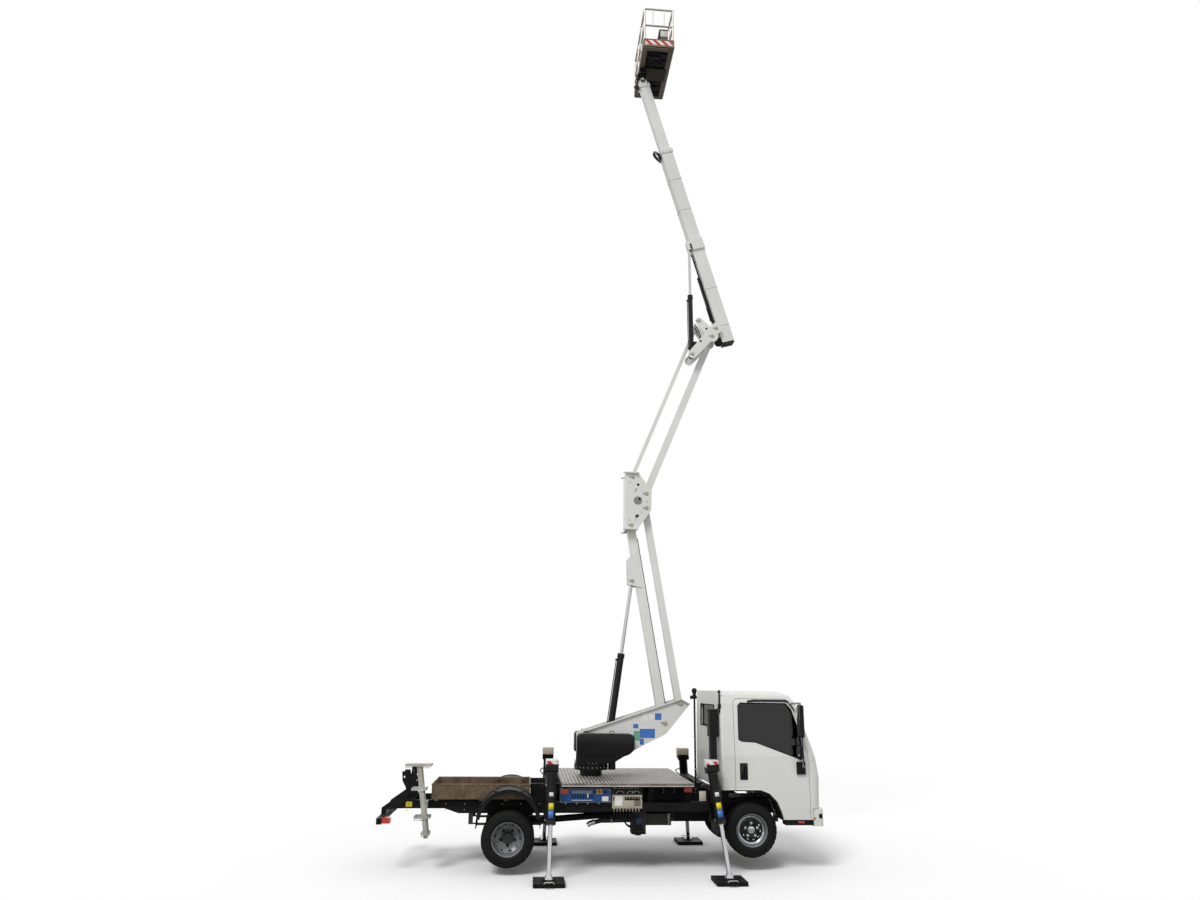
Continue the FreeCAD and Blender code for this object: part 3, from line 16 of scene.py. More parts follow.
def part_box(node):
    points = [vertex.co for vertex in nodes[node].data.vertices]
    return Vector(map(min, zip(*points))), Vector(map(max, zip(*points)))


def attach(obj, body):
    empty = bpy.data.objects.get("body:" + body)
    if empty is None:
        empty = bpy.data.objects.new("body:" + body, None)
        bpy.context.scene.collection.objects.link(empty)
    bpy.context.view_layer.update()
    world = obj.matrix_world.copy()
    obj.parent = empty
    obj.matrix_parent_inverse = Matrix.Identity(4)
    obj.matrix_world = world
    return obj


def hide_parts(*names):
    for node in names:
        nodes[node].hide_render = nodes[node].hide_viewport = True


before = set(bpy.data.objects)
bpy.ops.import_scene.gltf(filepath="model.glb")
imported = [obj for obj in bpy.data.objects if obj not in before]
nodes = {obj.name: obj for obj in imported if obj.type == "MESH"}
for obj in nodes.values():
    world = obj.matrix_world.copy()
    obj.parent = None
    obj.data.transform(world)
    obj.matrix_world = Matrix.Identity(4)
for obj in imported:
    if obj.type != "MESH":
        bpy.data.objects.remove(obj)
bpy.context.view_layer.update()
scene = bpy.context.scene

rear_low, rear_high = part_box("rims_rear_right")
AXLE_X = (rear_low[0] + rear_high[0]) / 2


def at(x, y, z):
    """A place on the truck, from millimetres off the rear axle, as a vector in metres."""
    return Vector((AXLE_X + x / 1000, y / 1000, z / 1000))


def span(node):
    """A CAD node's box as (low, high) in drawing millimetres."""
    low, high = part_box(node)
    shift = Vector((AXLE_X, 0, 0))
    return (Vector(low) - shift) * 1000, (Vector(high) - shift) * 1000


print("frame:", len(nodes), "nodes, rear axle at", round(AXLE_X, 3))

# %% [markdown]
# ## Finishes
# A finish is a Principled shader with a little noise in its colour, its roughness and its bump, at a
# scale worked out from a real size. One function turns hex colours to linear light, one adds a node
# with its settings and links, and each finish is a short function or a call of a shared recipe.


# %% Nodes and colours
def linear(code):
    """sRGB hex to linear RGBA."""
    parts = [int(code[i:i + 2], 16) / 255 for i in (1, 3, 5)]
    return tuple(c / 12.92 if c < 0.04045 else ((c + 0.055) / 1.055) ** 2.4 for c in parts) + (1.0,)


def node(tree, kind, links=(), stops=(), **values):
    """Adds a node; values set sockets or properties, links are (socket, other node's output) and
    stops are a ramp's (position, value or hex colour)."""
    made = tree.nodes.new(kind)
    for key, value in values.items():
        name = key.replace("_", " ")
        socket = next((s for s in made.inputs if s.name.lower() == name.lower()), None)
        if socket is not None and not hasattr(made, key):
            socket.default_value = value
        else:
            setattr(made, key, value)
    for socket, output in links:
        tree.links.new(output, made.inputs[socket])
    for i, (position, value) in enumerate(stops):
        stop = made.color_ramp.elements[i]
        stop.position = position
        stop.color = linear(value) if isinstance(value, str) else (value, value, value, 1.0)
    return made


def start(name, colour, **shader):
    """An empty material with its shader and object coordinates."""
    material = bpy.data.materials.new(name)
    material.use_nodes = True
    material.diffuse_color = linear(colour)
    tree = material.node_tree
    tree.nodes.clear()
    bsdf = node(tree, "ShaderNodeBsdfPrincipled", **shader)
    bsdf.inputs["Base Color"].default_value = linear(colour)
    node(tree, "ShaderNodeOutputMaterial", [("Surface", bsdf.outputs[0])])
    coords = node(tree, "ShaderNodeTexCoord").outputs["Object"]
    return material, tree, bsdf, coords


def plain_finish(name, colour, shade, grain_mm, patch_mm, rough, bump_mm, **shader):
    """Paint, plastic or metal: slow patches of a second shade, fine grain and uneven gloss."""
    material, tree, bsdf, coords = start(name, colour, **shader)
    patches = node(tree, "ShaderNodeTexNoise", [("Vector", coords)], Scale=1000 / patch_mm, Detail=3.0)
    grain = node(tree, "ShaderNodeTexNoise", [("Vector", coords)], Scale=1000 / grain_mm, Detail=3.0)
    tint = node(tree, "ShaderNodeValToRGB", [("Fac", patches.outputs["Fac"])],
                ((0.35, colour), (0.65, shade)))
    gloss = node(tree, "ShaderNodeValToRGB", [("Fac", patches.outputs["Fac"])],
                 ((0.35, rough[0]), (0.65, rough[1])))
    bump = node(tree, "ShaderNodeBump", [("Height", grain.outputs["Fac"])], Distance=bump_mm / 1000)
    tree.links.new(tint.outputs["Color"], bsdf.inputs["Base Color"])
    tree.links.new(gloss.outputs["Color"], bsdf.inputs["Roughness"])
    tree.links.new(bump.outputs["Normal"], bsdf.inputs["Normal"])
    return material


# %% Paints, plastics and bare metals
# two-pack enamel: a hard gloss with faint orange peel, a few millimetres from crest to crest
white_paint = plain_finish("white_two_pack_enamel", "#e2e2df", "#d7d7d3", 6, 900, (0.28, 0.4), 0.02,
                           Coat_Weight=0.2, Coat_Roughness=0.12)
cream_paint = plain_finish("cream_powder_coat", "#b9b1a0", "#aaa290", 3, 200, (0.4, 0.55), 0.04)
blue_paint = plain_finish("blue_panel_enamel", "#24589a", "#1f4f8c", 4, 150, (0.35, 0.5), 0.02,
                          Specular_IOR_Level=0.3)
# chassis black: thin satin paint over hot-rolled steel, greyer in slow patches
black_paint = plain_finish("black_chassis_paint", "#0d0d0e", "#161617", 5, 160, (0.4, 0.6), 0.06,
                           Specular_IOR_Level=0.16)
black_gloss = plain_finish("black_gloss_enamel", "#08080a", "#0d0d0f", 6, 500, (0.14, 0.24), 0.02,
                           Specular_IOR_Level=0.3)
grey_casting = plain_finish("grey_iron_casting", "#2d2c2b", "#3c3a37", 4, 90, (0.5, 0.7), 0.25,
                            Specular_IOR_Level=0.3)
# moulded ABS: a fine leather grain, about a millimetre across
black_plastic = plain_finish("black_grained_abs", "#101112", "#171819", 1.5, 120, (0.45, 0.6), 0.05,
                             Specular_IOR_Level=0.2)
rubber = plain_finish("black_rubber_hose", "#0d0d0d", "#151515", 1.2, 60, (0.55, 0.75), 0.05,
                      Specular_IOR_Level=0.2)
rope_white = plain_finish("white_braided_rope", "#cfcac0", "#b8b2a6", 4, 30, (0.7, 0.9), 0.8)
wheel_silver = plain_finish("silver_wheel_paint", "#a8abae", "#989b9f", 3, 120, (0.3, 0.45), 0.03,
                            Metallic=0.6)
wheel_grey = plain_finish("grey_disc_paint", "#7f8183", "#6f7173", 3, 120, (0.4, 0.55), 0.03, Metallic=0.3)
zinc = plain_finish("zinc_plated_steel", "#b4b1a8", "#a09c90", 3, 25, (0.3, 0.5), 0.03, Metallic=1.0)
chrome = plain_finish("hard_chrome_rod", "#c9cacc", "#bfc0c3", 2, 400, (0.07, 0.13), 0.002, Metallic=1.0)
steel = plain_finish("galvanised_steel", "#a9a8a4", "#8f8e8a", 3, 35, (0.35, 0.55), 0.04, Metallic=0.85)
print("paints and metals:", len(bpy.data.materials))


# %% [markdown]
# ## Aluminium sheet, tyres, glass and lamps
# Mill aluminium outdoors goes brown-grey and keeps its rolling lines. The lines are noise stretched
# along the sheet by a Mapping node, a few tenths of a millimetre apart, drawn at 5 mm so they show.

# %% Weathered aluminium, tyre rubber, glass
def rolled_aluminium(name, light, dark, stretch=(1, 12, 12)):
    """Mill sheet: fine lines across the stretched axes under slow brown-grey patches."""
    material, tree, bsdf, coords = start(name, light, Metallic=0.75)
    mapped = node(tree, "ShaderNodeMapping", [("Vector", coords)], Scale=stretch).outputs[0]
    lines = node(tree, "ShaderNodeTexNoise", [("Vector", mapped)], Scale=1000 / 60, Detail=3.0).outputs["Fac"]
    patches = node(tree, "ShaderNodeTexNoise", [("Vector", coords)], Scale=1000 / 220,
                   Detail=6.0).outputs["Fac"]
    mixed = node(tree, "ShaderNodeMath", [(0, lines), (1, patches)], operation="MULTIPLY").outputs[0]
    tint = node(tree, "ShaderNodeValToRGB", [("Fac", mixed)], ((0.15, dark), (0.38, light)))
    gloss = node(tree, "ShaderNodeValToRGB", [("Fac", patches)], ((0.35, 0.36), (0.65, 0.56)))
    bump = node(tree, "ShaderNodeBump", [("Height", lines)], Distance=0.0002)
    tree.links.new(tint.outputs["Color"], bsdf.inputs["Base Color"])
    tree.links.new(gloss.outputs["Color"], bsdf.inputs["Roughness"])
    tree.links.new(bump.outputs["Normal"], bsdf.inputs["Normal"])
    return material


weathered_aluminium = rolled_aluminium("weathered_mill_aluminium", "#85745f", "#5d4f3f")
deck_aluminium = rolled_aluminium("walked_deck_aluminium", "#8b8580", "#6c6762")
bright_aluminium = rolled_aluminium("bright_tread_bars", "#dedbd7", "#bcb8b2")
worn_bars = rolled_aluminium("worn_tread_bars", "#a39380", "#7f705f")
ladder_aluminium = rolled_aluminium("extruded_ladder_aluminium", "#cfccc7", "#aba69f", (12, 12, 1))
basket_aluminium = rolled_aluminium("anodised_basket_aluminium", "#85786a", "#5e544a", (12, 1, 12))
# a darker copy of the basket's sheet: painted shade for the underside of its floor
painted_shade_sheet = rolled_aluminium("underside_painted_shade_sheet", "#4a423a", "#332d27", (12, 1, 12))


def tyre_rubber():
    """Vulcanised rubber: matt, greyer in patches of road dust, with a fine grain."""
    material, tree, bsdf, coords = start("road_tyre_rubber", "#101010", Specular_IOR_Level=0.18)
    dust = node(tree, "ShaderNodeTexNoise", [("Vector", coords)], Scale=1000 / 70, Detail=6.0).outputs["Fac"]
    tint = node(tree, "ShaderNodeValToRGB", [("Fac", dust)], ((0.4, "#0f0f0f"), (0.75, "#1e1d1b")))
    gloss = node(tree, "ShaderNodeValToRGB", [("Fac", dust)], ((0.35, 0.62), (0.65, 0.82)))
    grain = node(tree, "ShaderNodeTexNoise", [("Vector", coords)], Scale=1000 / 2, Detail=3.0)
    bump = node(tree, "ShaderNodeBump", [("Height", grain.outputs["Fac"])], Distance=0.0002)
    tree.links.new(tint.outputs["Color"], bsdf.inputs["Base Color"])
    tree.links.new(gloss.outputs["Color"], bsdf.inputs["Roughness"])
    tree.links.new(bump.outputs["Normal"], bsdf.inputs["Normal"])
    return material


def tinted_glass(name, colour, rough=0.01):
    """Float glass: it lets light through and takes a slight green-grey tint."""
    material, tree, bsdf, coords = start(name, colour, Transmission_Weight=1.0, IOR=1.5)
    patches = node(tree, "ShaderNodeTexNoise", [("Vector", coords)], Scale=1000 / 300, Detail=3.0)
    gloss = node(tree, "ShaderNodeValToRGB", [("Fac", patches.outputs["Fac"])],
                 ((0.35, rough), (0.65, rough + 0.02)))
    tree.links.new(gloss.outputs["Color"], bsdf.inputs["Roughness"])
    return material


def lens(name, colour, shade, rib_mm=6.0):
    """Moulded lamp lens with vertical ribs."""
    material, tree, bsdf, coords = start(name, colour, Roughness=0.12, Coat_Weight=0.5, Coat_Roughness=0.05)
    ribs = node(tree, "ShaderNodeTexWave", [("Vector", coords)], Scale=314.0 / rib_mm, bands_direction="X")
    tint = node(tree, "ShaderNodeValToRGB", [("Fac", ribs.outputs["Fac"])], ((0.1, shade), (0.9, colour)))
    bump = node(tree, "ShaderNodeBump", [("Height", ribs.outputs["Fac"])], Distance=0.0006)
    tree.links.new(tint.outputs["Color"], bsdf.inputs["Base Color"])
    tree.links.new(bump.outputs["Normal"], bsdf.inputs["Normal"])
    return material


tyre_black = tyre_rubber()
cab_glass = tinted_glass("tinted_float_glass", "#2a302d")
red_lens = lens("red_marker_lens", "#d4452a", "#b8331c")
orange_lens = lens("amber_lamp_lens", "#d8741c", "#bd5f12")
mirror_face = start("silvered_mirror", "#d8dcdd", Metallic=1.0, Roughness=0.03)[0]
yellow_label = plain_finish("yellow_vinyl_label", "#d8c81e", "#cdbb18", 2, 60, (0.3, 0.4), 0.01)
blue_label = plain_finish("blue_vinyl_label", "#3f74c4", "#3a6cb8", 2, 60, (0.3, 0.4), 0.01)
green_label = plain_finish("green_vinyl_label", "#6fae8c", "#64a381", 2, 60, (0.3, 0.4), 0.01)
white_label = plain_finish("white_vinyl_label", "#eceae6", "#e0ded8", 2, 60, (0.3, 0.4), 0.01)
red_label = plain_finish("red_vinyl_label", "#c02a1e", "#b0241a", 2, 60, (0.3, 0.4), 0.01)


def hazard_tape():
    """Red and white reflective tape: stripes at 45 degrees, 50 mm wide."""
    material, tree, bsdf, coords = start("red_white_hazard_tape", "#e8e6e2", Roughness=0.3)
    turned = node(tree, "ShaderNodeMapping", [("Vector", coords)],
                  Rotation=(0, math.radians(45), 0)).outputs[0]
    wave = node(tree, "ShaderNodeTexWave", [("Vector", turned)], Scale=3.14,
                bands_direction="X", wave_profile="SAW")
    tint = node(tree, "ShaderNodeValToRGB", [("Fac", wave.outputs["Fac"])],
                ((0.49, "#e8e6e2"), (0.51, "#bd2318")))
    grain = node(tree, "ShaderNodeTexNoise", [("Vector", coords)], Scale=1000 / 3, Detail=3.0)
    bump = node(tree, "ShaderNodeBump", [("Height", grain.outputs["Fac"])], Distance=0.00005)
    tree.links.new(tint.outputs["Color"], bsdf.inputs["Base Color"])
    tree.links.new(bump.outputs["Normal"], bsdf.inputs["Normal"])
    return material


tape = hazard_tape()
print("materials:", len(bpy.data.materials))


# %% [markdown]
# ## Mesh helpers
# Every piece is one bmesh that boxes, bars, plates and turned shapes are added to. Its places are in
# drawing millimetres, so the finished object sits at the origin as a CAD node does. Faces smoother
# than 35 degrees are shaded smooth, and the sharp edges carry a small bevel, as folded sheet and
# castings do.

# %% Shapes
MM = 0.001


def spot(p):
    return at(*p)


def add_box(bm, x, y, z, bevel=0.0, segments=2):
    """Box from three (low, high) ranges."""
    low, high = at(min(x), min(y), min(z)), at(max(x), max(y), max(z))
    size = high - low
    made = bmesh.ops.create_cube(bm, size=1.0,
                                 matrix=Matrix.Translation((low + high) / 2) @ Matrix.Diagonal((*size, 1.0)))
    round_edges(bm, made["verts"], bevel, segments)
    return made["verts"]


def round_edges(bm, verts, bevel, segments=2):
    if bevel:
        edges = {e for v in verts for e in v.link_edges}
        bmesh.ops.bevel(bm, geom=list(edges), offset=bevel * MM, segments=segments, profile=0.5,
                        affect="EDGES", material=-1)


def add_bar(bm, p, q, r, steps=16, r2=None, bevel=0.0):
    """Round bar or cone between two places."""
    a, b = spot(p), spot(q)
    turn = (b - a).to_track_quat("Z", "Y").to_matrix().to_4x4()
    made = bmesh.ops.create_cone(bm, cap_ends=True, segments=steps, radius1=r * MM,
                                 radius2=(r if r2 is None else r2) * MM,
                                 depth=(b - a).length, matrix=Matrix.Translation((a + b) / 2) @ turn)
    if bevel:
        rims = {e for v in made["verts"] for e in v.link_edges if len(e.link_faces) == 2
                and e.calc_face_angle() > 1.0}
        bmesh.ops.bevel(bm, geom=list(rims), offset=bevel * MM, segments=2, profile=0.5, affect="EDGES",
                        material=-1)
    return made["verts"]


def add_ball(bm, p, r, steps=16):
    return bmesh.ops.create_uvsphere(bm, u_segments=steps, v_segments=steps // 2, radius=r * MM,
                                     matrix=Matrix.Translation(spot(p)))["verts"]


def strip(bm, points, r, steps=10):
    """Round strip through places, with balls in its bends."""
    for a, b in zip(points, points[1:]):
        add_bar(bm, a, b, r, steps)
    for p in points[1:-1]:
        add_ball(bm, p, r, steps)


def add_plate(bm, outline, y0, y1, bevel=0.0, segments=2):
    """Flat (x, z) outline, thick from y0 to y1."""
    face = bm.faces.new([bm.verts.new(at(x, y0, z)) for x, z in outline])
    made = bmesh.ops.extrude_face_region(bm, geom=[face])["geom"]
    far = [v for v in made if isinstance(v, bmesh.types.BMVert)]
    bmesh.ops.translate(bm, verts=far, vec=Vector((0, (y1 - y0) * MM, 0)))
    verts = far + list(face.verts)
    faces = {f for v in verts for f in v.link_faces}
    bmesh.ops.recalc_face_normals(bm, faces=list(faces))
    round_edges(bm, verts, bevel, segments)
    return verts


def add_ring(bm, p, q, inner, outer, steps=32):
    """Hollow ring from p to q: a rectangle beside the axis, spun once round."""
    a, b = spot(p), spot(q)
    axis = (b - a).normalized()
    out = axis.orthogonal().normalized()
    corners = [bm.verts.new(c + out * r * MM) for c, r in ((a, inner), (a, outer), (b, outer), (b, inner))]
    edges = [bm.edges.new((corners[i], corners[(i + 1) % 4])) for i in range(4)]
    bmesh.ops.spin(bm, geom=corners + edges, cent=a, axis=axis, angle=2 * math.pi, steps=steps,
                   use_merge=True, use_duplicate=False)
    bmesh.ops.recalc_face_normals(bm, faces=bm.faces[:])


def add_turned(bm, profile, centre, steps=48, axis=(0, 1, 0), closed=True, keep=None):
    """Turns (radius, along) points about an axis; keep(row, step) says which faces stay. The ring is
    only round on an axis along x or square to it: on another it comes out sheared."""
    axis = Vector(axis)
    side = Vector((1, 0, 0)) if abs(axis.x) < 0.9 else Vector((0, 0, 1))
    up = axis.cross(side)
    mid = spot(centre)
    rows = []
    for r, a in profile:
        row = []
        for i in range(steps):
            turn = 2 * math.pi * i / steps
            radius = r(i) if callable(r) else r
            row.append(bm.verts.new(mid + axis * (a * MM) + (side * math.cos(turn) + up * math.sin(turn)) *
                                    (radius * MM)))
        rows.append(row)
    faces = []
    for k in range(len(rows) if closed else len(rows) - 1):
        a, b = rows[k], rows[(k + 1) % len(rows)]
        for i in range(steps):
            if keep is None or keep(k, i):
                j = (i + 1) % steps
                faces.append(bm.faces.new((a[i], a[j], b[j], b[i])))
    bmesh.ops.recalc_face_normals(bm, faces=faces)
    return rows


def finish(name, bm, material, body="root", replaces=(), smooth=35.0):
    """Makes the object, gives it its finish and lets it ride on its body."""
    for face in bm.faces:
        face.smooth = True
    for edge in bm.edges:
        if len(edge.link_faces) == 2 and edge.calc_face_angle() > math.radians(smooth):
            edge.smooth = False
    mesh = bpy.data.meshes.new(name)
    bm.to_mesh(mesh)
    bm.free()
    mesh.materials.append(material)
    made = bpy.data.objects.new(name, mesh)
    scene.collection.objects.link(made)
    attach(made, body)
    if replaces:
        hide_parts(*replaces)
    return made


def hose(name, points, r, body="root", material=None):
    """Fixed hose, cable or rope along a smooth line."""
    curve = bpy.data.curves.new(name, "CURVE")
    curve.dimensions = "3D"
    curve.bevel_depth, curve.bevel_resolution, curve.resolution_u = r * MM, 3, 10
    curve.use_fill_caps = True
    line = curve.splines.new("NURBS")
    line.points.add(len(points) - 1)
    for point, p in zip(line.points, points):
        point.co = (*spot(p), 1.0)
    line.order_u, line.use_endpoint_u = 3, True
    curve.materials.append(material or rubber)
    made = bpy.data.objects.new(name, curve)
    scene.collection.objects.link(made)
    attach(made, body)
    return made


def paint(material, *names):
    """Gives CAD nodes their finish."""
    for name in names:
        mesh = nodes[name].data
        mesh.materials.clear()
        mesh.materials.append(material)


SIDES = (("right", -1), ("left", 1))
print("helpers ready")

# %% [markdown]
# ## Finishes of the CAD nodes

# %% CAD finishes
LEGS = [end + "_" + side for end in ("rear", "front") for side, _ in SIDES]
paint(white_paint, "cab_shell", "door_right", "door_left", "front_bumper", "turret_arm", "lower_boom",
      "lower_tie",
      "knuckle_link", "upper_boom", "upper_tie", "upper_link", "boom_base", "boom_mid", "boom_tip")
paint(black_paint, "chassis_frame", "subframe", "boom_rest", "powertrain", "slew_base", "basket_bracket",
      "cab_trim")
paint(grey_casting, "axles", "steering_knuckle_right", "steering_knuckle_left")
paint(black_gloss, "turret_covers", "lower_cylinder_barrel", "upper_cylinder_barrel")
paint(weathered_aluminium, "tray")
paint(deck_aluminium, "deck")
paint(basket_aluminium, "basket_tub")
paint(ladder_aluminium, "steps", "basket_rails")
paint(chrome, "lower_cylinder_rod", "upper_cylinder_rod", *["leg_" + n for n in LEGS])
paint(black_paint, *["pad_" + n for n in LEGS])
paint(cab_glass, "cab_glass", "door_glass_right", "door_glass_left")
paint(black_plastic, "mudguards", "intake_stack", "mirror_right", "mirror_left")
paint(red_lens, "lamps")
paint(cream_paint, "control_boxes")
print("painted")

# %% [markdown]
# ## Wheels
# A tyre is turned from its section, with four grooves in the tread and every third step of the
# shoulders drawn in, which cuts the shoulder blocks. A wheel's disc is turned as one skin whose
# slots are faces left out, and a Solidify modifier gives the pressed plate its thickness.

# %% Tyres
FRONT_X = (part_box("rim_front_right")[0][0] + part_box("rim_front_right")[1][0]) / 2 * 1000 - AXLE_X * 1000
FRONT_Z, REAR_Z = 536.0, 452.0
FRONT_Y, REAR_Y, TWIN = 697.0, 712.0, 115.0
STEPS = 96


def block(r, cut=5.0):
    return lambda i: r - (cut if i % 3 == 0 else 0.0)


def tyre_profile():
    """Half the section from the bead over the sidewall's ribs to the middle of the tread."""
    wall = [(206, 81), (216, 84), (222, 82.5), (236, 95), (240, 98.5), (262, 101.5), (264, 100.5),
            (290, 102.3),
            (296, 102.3), (298, 101), (322, 99.5), (324, 100.8)]
    shoulder = [(block(340), 92), (block(349, 7), 84), (block(355, 8), 76)]
    tread = []
    for groove in (50.0, 20.0):
        tread += [(355.5, groove + 5.5), (347, groove + 3.5), (347, groove - 3.5), (356, groove - 5.5)]
    return wall + shoulder + tread


def tyre(name, body, node_name, places):
    bm = bmesh.new()
    half = tyre_profile()
    for centre in places:
        add_turned(bm, half + [(r, -a) for r, a in reversed(half)], centre, STEPS)
    return finish(name, bm, tyre_black, body, [node_name])


for side, s in SIDES:
    tyre("front_tyre_" + side, "wheel_front_" + side, "tyre_front_" + side, [(FRONT_X, s * FRONT_Y, FRONT_Z)])
    tyre("rear_tyres_" + side, "wheel_rear_" + side, "tyres_rear_" + side,
         [(0, s * REAR_Y + o, REAR_Z) for o in (-TWIN, TWIN)])


# %% Rims, hubs and nuts
def around(count, radius, centre, start_deg=0.0):
    """Places on a circle across the truck."""
    x, y, z = centre
    for i in range(count):
        a = math.radians(start_deg) + 2 * math.pi * i / count
        yield x + radius * math.cos(a), y, z + radius * math.sin(a)


def thick(made, mm):
    """Gives a turned skin its plate thickness, half to each side."""
    solid = made.modifiers.new("plate thickness", "SOLIDIFY")
    solid.thickness, solid.offset = mm * MM, 0.0
    return made


def barrel(bm, x, y, z, s):
    """Rolled rim section, open in the middle."""
    half = [(199, 20), (199, 60), (208, 78), (212, 83), (217.5, 89.5), (218.5, 86), (218.5, 83), (207, 82),
            (204.7, 60), (204.7, 20)]
    add_turned(bm, [(r, s * a) for r, a in half] + [(r, -s * a) for r, a in reversed(half)], (x, y, z), 64)


def nut(bm, p, s, r=15, tall=22):
    x, y, z = p
    add_bar(bm, (x, y, z), (x, y + s * 5, z), r + 5, 16)
    add_bar(bm, (x, y + s * 4, z), (x, y + s * tall, z), r, 6, bevel=1.5)


def slotted(low, high, count, wide):
    """Leaves faces out of the disc between two rows to open its slots."""
    period = 60 // count
    return lambda row, i: not (low <= row < high and i % period < wide)


for side, s in SIDES:
    centre = (FRONT_X, s * FRONT_Y, FRONT_Z)
    bm = bmesh.new()
    barrel(bm, *centre, s)
    finish("front_rim_" + side, bm, wheel_silver, "wheel_front_" + side, ["rim_front_" + side])
    bm = bmesh.new()
    trim = [(199.5, 30), (188, 40), (180, 43), (172, 40), (166, 34), (158, 33)]
    add_turned(bm, [(r, s * a) for r, a in trim], centre, 60, closed=False)
    thick(finish("front_trim_ring_" + side, bm, chrome, "wheel_front_" + side), 3)
    bm = bmesh.new()
    disc = [(160, 33), (150, 42), (132, 47), (122, 44), (112, 46), (66, 40), (62, 38), (0.5, 38)]
    add_turned(bm, [(r, s * a) for r, a in disc], centre, 60, closed=False, keep=slotted(2, 3, 10, 2))
    thick(finish("front_disc_" + side, bm, black_gloss, "wheel_front_" + side), 5)
    bm = bmesh.new()
    for p in around(5, 92, centre, 18):
        nut(bm, (p[0], p[1] + s * 42, p[2]), s, 17, 22)
    cap = [(52, 38), (52, 50), (46, 56), (30, 59), (0.5, 60), (0.5, 38)]
    add_turned(bm, [(r, s * a) for r, a in cap], centre, 40)
    finish("front_nuts_" + side, bm, chrome, "wheel_front_" + side, smooth=30)

    centre = (0.0, s * REAR_Y, REAR_Z)
    bm = bmesh.new()
    for o in (-TWIN, TWIN):
        barrel(bm, centre[0], centre[1] + o, centre[2], s)
    finish("rear_rims_" + side, bm, wheel_silver, "wheel_rear_" + side, ["rims_rear_" + side])
    bm = bmesh.new()
    for k in (-1, 1):
        dish = [(199.5, 42), (190, 36), (178, 28), (160, 16), (146, 10), (128, 8), (66, 8)]
        add_turned(bm, [(r, k * a) for r, a in dish], centre, 60, closed=False, keep=slotted(2, 3, 10, 2))
    thick(finish("rear_dishes_" + side, bm, wheel_grey, "wheel_rear_" + side), 6)
    bm = bmesh.new()
    hub = [(64, -12), (64, 14), (58, 40), (52, 52), (34, 54), (30, 46), (0.5, 46), (0.5, -12)]
    add_turned(bm, [(r, s * a) for r, a in hub], centre, 40)
    for p in around(5, 100, centre, 54):
        nut(bm, (p[0], p[1] + s * 11, p[2]), s)
    for p in around(6, 43, centre):
        add_bar(bm, (p[0], p[1] + s * 50, p[2]), (p[0], p[1] + s * 57, p[2]), 5, 6)
    finish("rear_hub_" + side, bm, black_paint, "wheel_rear_" + side, smooth=30)
print("wheels")

# %% [markdown]
# ## Deck, tray and steps
# Chequered plate has bars raised 1.5 to 2.4 mm from the sheet, set in turns at 45 degrees each way.
# They are real bars on the deck, in the tray, on the treads and on the basket's floor.


# %% Tread bars
def tread(name, zones, material, pitch=40.0, bar=(34.0, 9.0, 1.6), body="root"):
    """Bars over (x range, y range, z) zones, alternately at 45 and 135 degrees."""
    bm = bmesh.new()
    half_long, half_wide, tall = bar[0] / 2, bar[1] / 2, bar[2]
    for x, y, z in zones:
        columns, rows = int((x[1] - x[0]) // pitch), int((y[1] - y[0]) // pitch)
        x0 = (x[0] + x[1] - (columns - 1) * pitch) / 2
        y0 = (y[0] + y[1] - (rows - 1) * pitch) / 2
        for i in range(columns):
            for j in range(rows):
                turn = math.radians(45 if (i + j) % 2 else 135)
                c, n = math.cos(turn), math.sin(turn)
                cx, cy = x0 + i * pitch, y0 + j * pitch
                low = [(cx + a * c - b * n, cy + a * n + b * c) for a, b in
                       ((-half_long, 0), (-half_long * 0.6, -half_wide), (half_long * 0.6, -half_wide),
                        (half_long, 0),
                        (half_long * 0.6, half_wide), (-half_long * 0.6, half_wide))]
                base = [bm.verts.new(at(px, py, z)) for px, py in low]
                top = [bm.verts.new(at(cx + (px - cx) * 0.8, cy + (py - cy) * 0.8, z + tall)) for px,
                       py in low]
                bm.faces.new(top)
                for k in range(6):
                    bm.faces.new((base[k], base[(k + 1) % 6], top[(k + 1) % 6], top[k]))
    return finish(name, bm, material, body, smooth=60)


DECK_X, DECK_Y, DECK_TOP = (696.0, 2500.0), 1056.0, 1176.0
tread("deck_tread", [(DECK_X, (-DECK_Y, DECK_Y), DECK_TOP)], bright_aluminium, 48.0, (44.0, 13.0, 2.4))
tread("tray_tread", [((-1062, 270), (-446, 446), 912.0)], worn_bars)
tread("step_tread", [((-1425, -1085), (-680, -492), 1352.0), ((-1325, -1135), (-676, -494), 1040.0),
                     ((-1270, -1066), (-676, -494), 680.0), ((-1165, -1065), (-676, -494), 470.0)],
      bright_aluminium, 32.0,
      (24.0, 7.0, 1.5))

# folded edge trim and bolts of the deck
bm = bmesh.new()
for s in (-1, 1):
    add_box(bm, (DECK_X[0] + 6, DECK_X[1] - 6), (s * (DECK_Y + 0.2), s * (DECK_Y + 3)),
            (DECK_TOP - 40, DECK_TOP - 28), 1)
    for i in range(7):
        x = DECK_X[0] + 90 + i * (DECK_X[1] - DECK_X[0] - 180) / 6
        add_bar(bm, (x, s * (DECK_Y + 0.2), DECK_TOP - 14), (x, s * (DECK_Y + 5), DECK_TOP - 14), 7, 6)
finish("deck_edge_trim", bm, bright_aluminium)

# the tray's rolled rim, posts and bolts
bm = bmesh.new()
rim = [(-1077, -461, 1096), (284, -461, 1096), (284, 461, 1096), (-1077, 461, 1096)]
for a, b in zip(rim, rim[1:] + rim[:1]):
    add_bar(bm, a, b, 9, 12)
for s in (-1, 1):
    for x in (-1020, -640, -260, 120):
        add_box(bm, (x - 22, x + 22), (s * 461.2, s * 467), (930, 1088), 1)
        for z in (950, 1066):
            add_bar(bm, (x, s * 466, z), (x, s * 471, z), 6, 6)
finish("tray_rim", bm, weathered_aluminium)
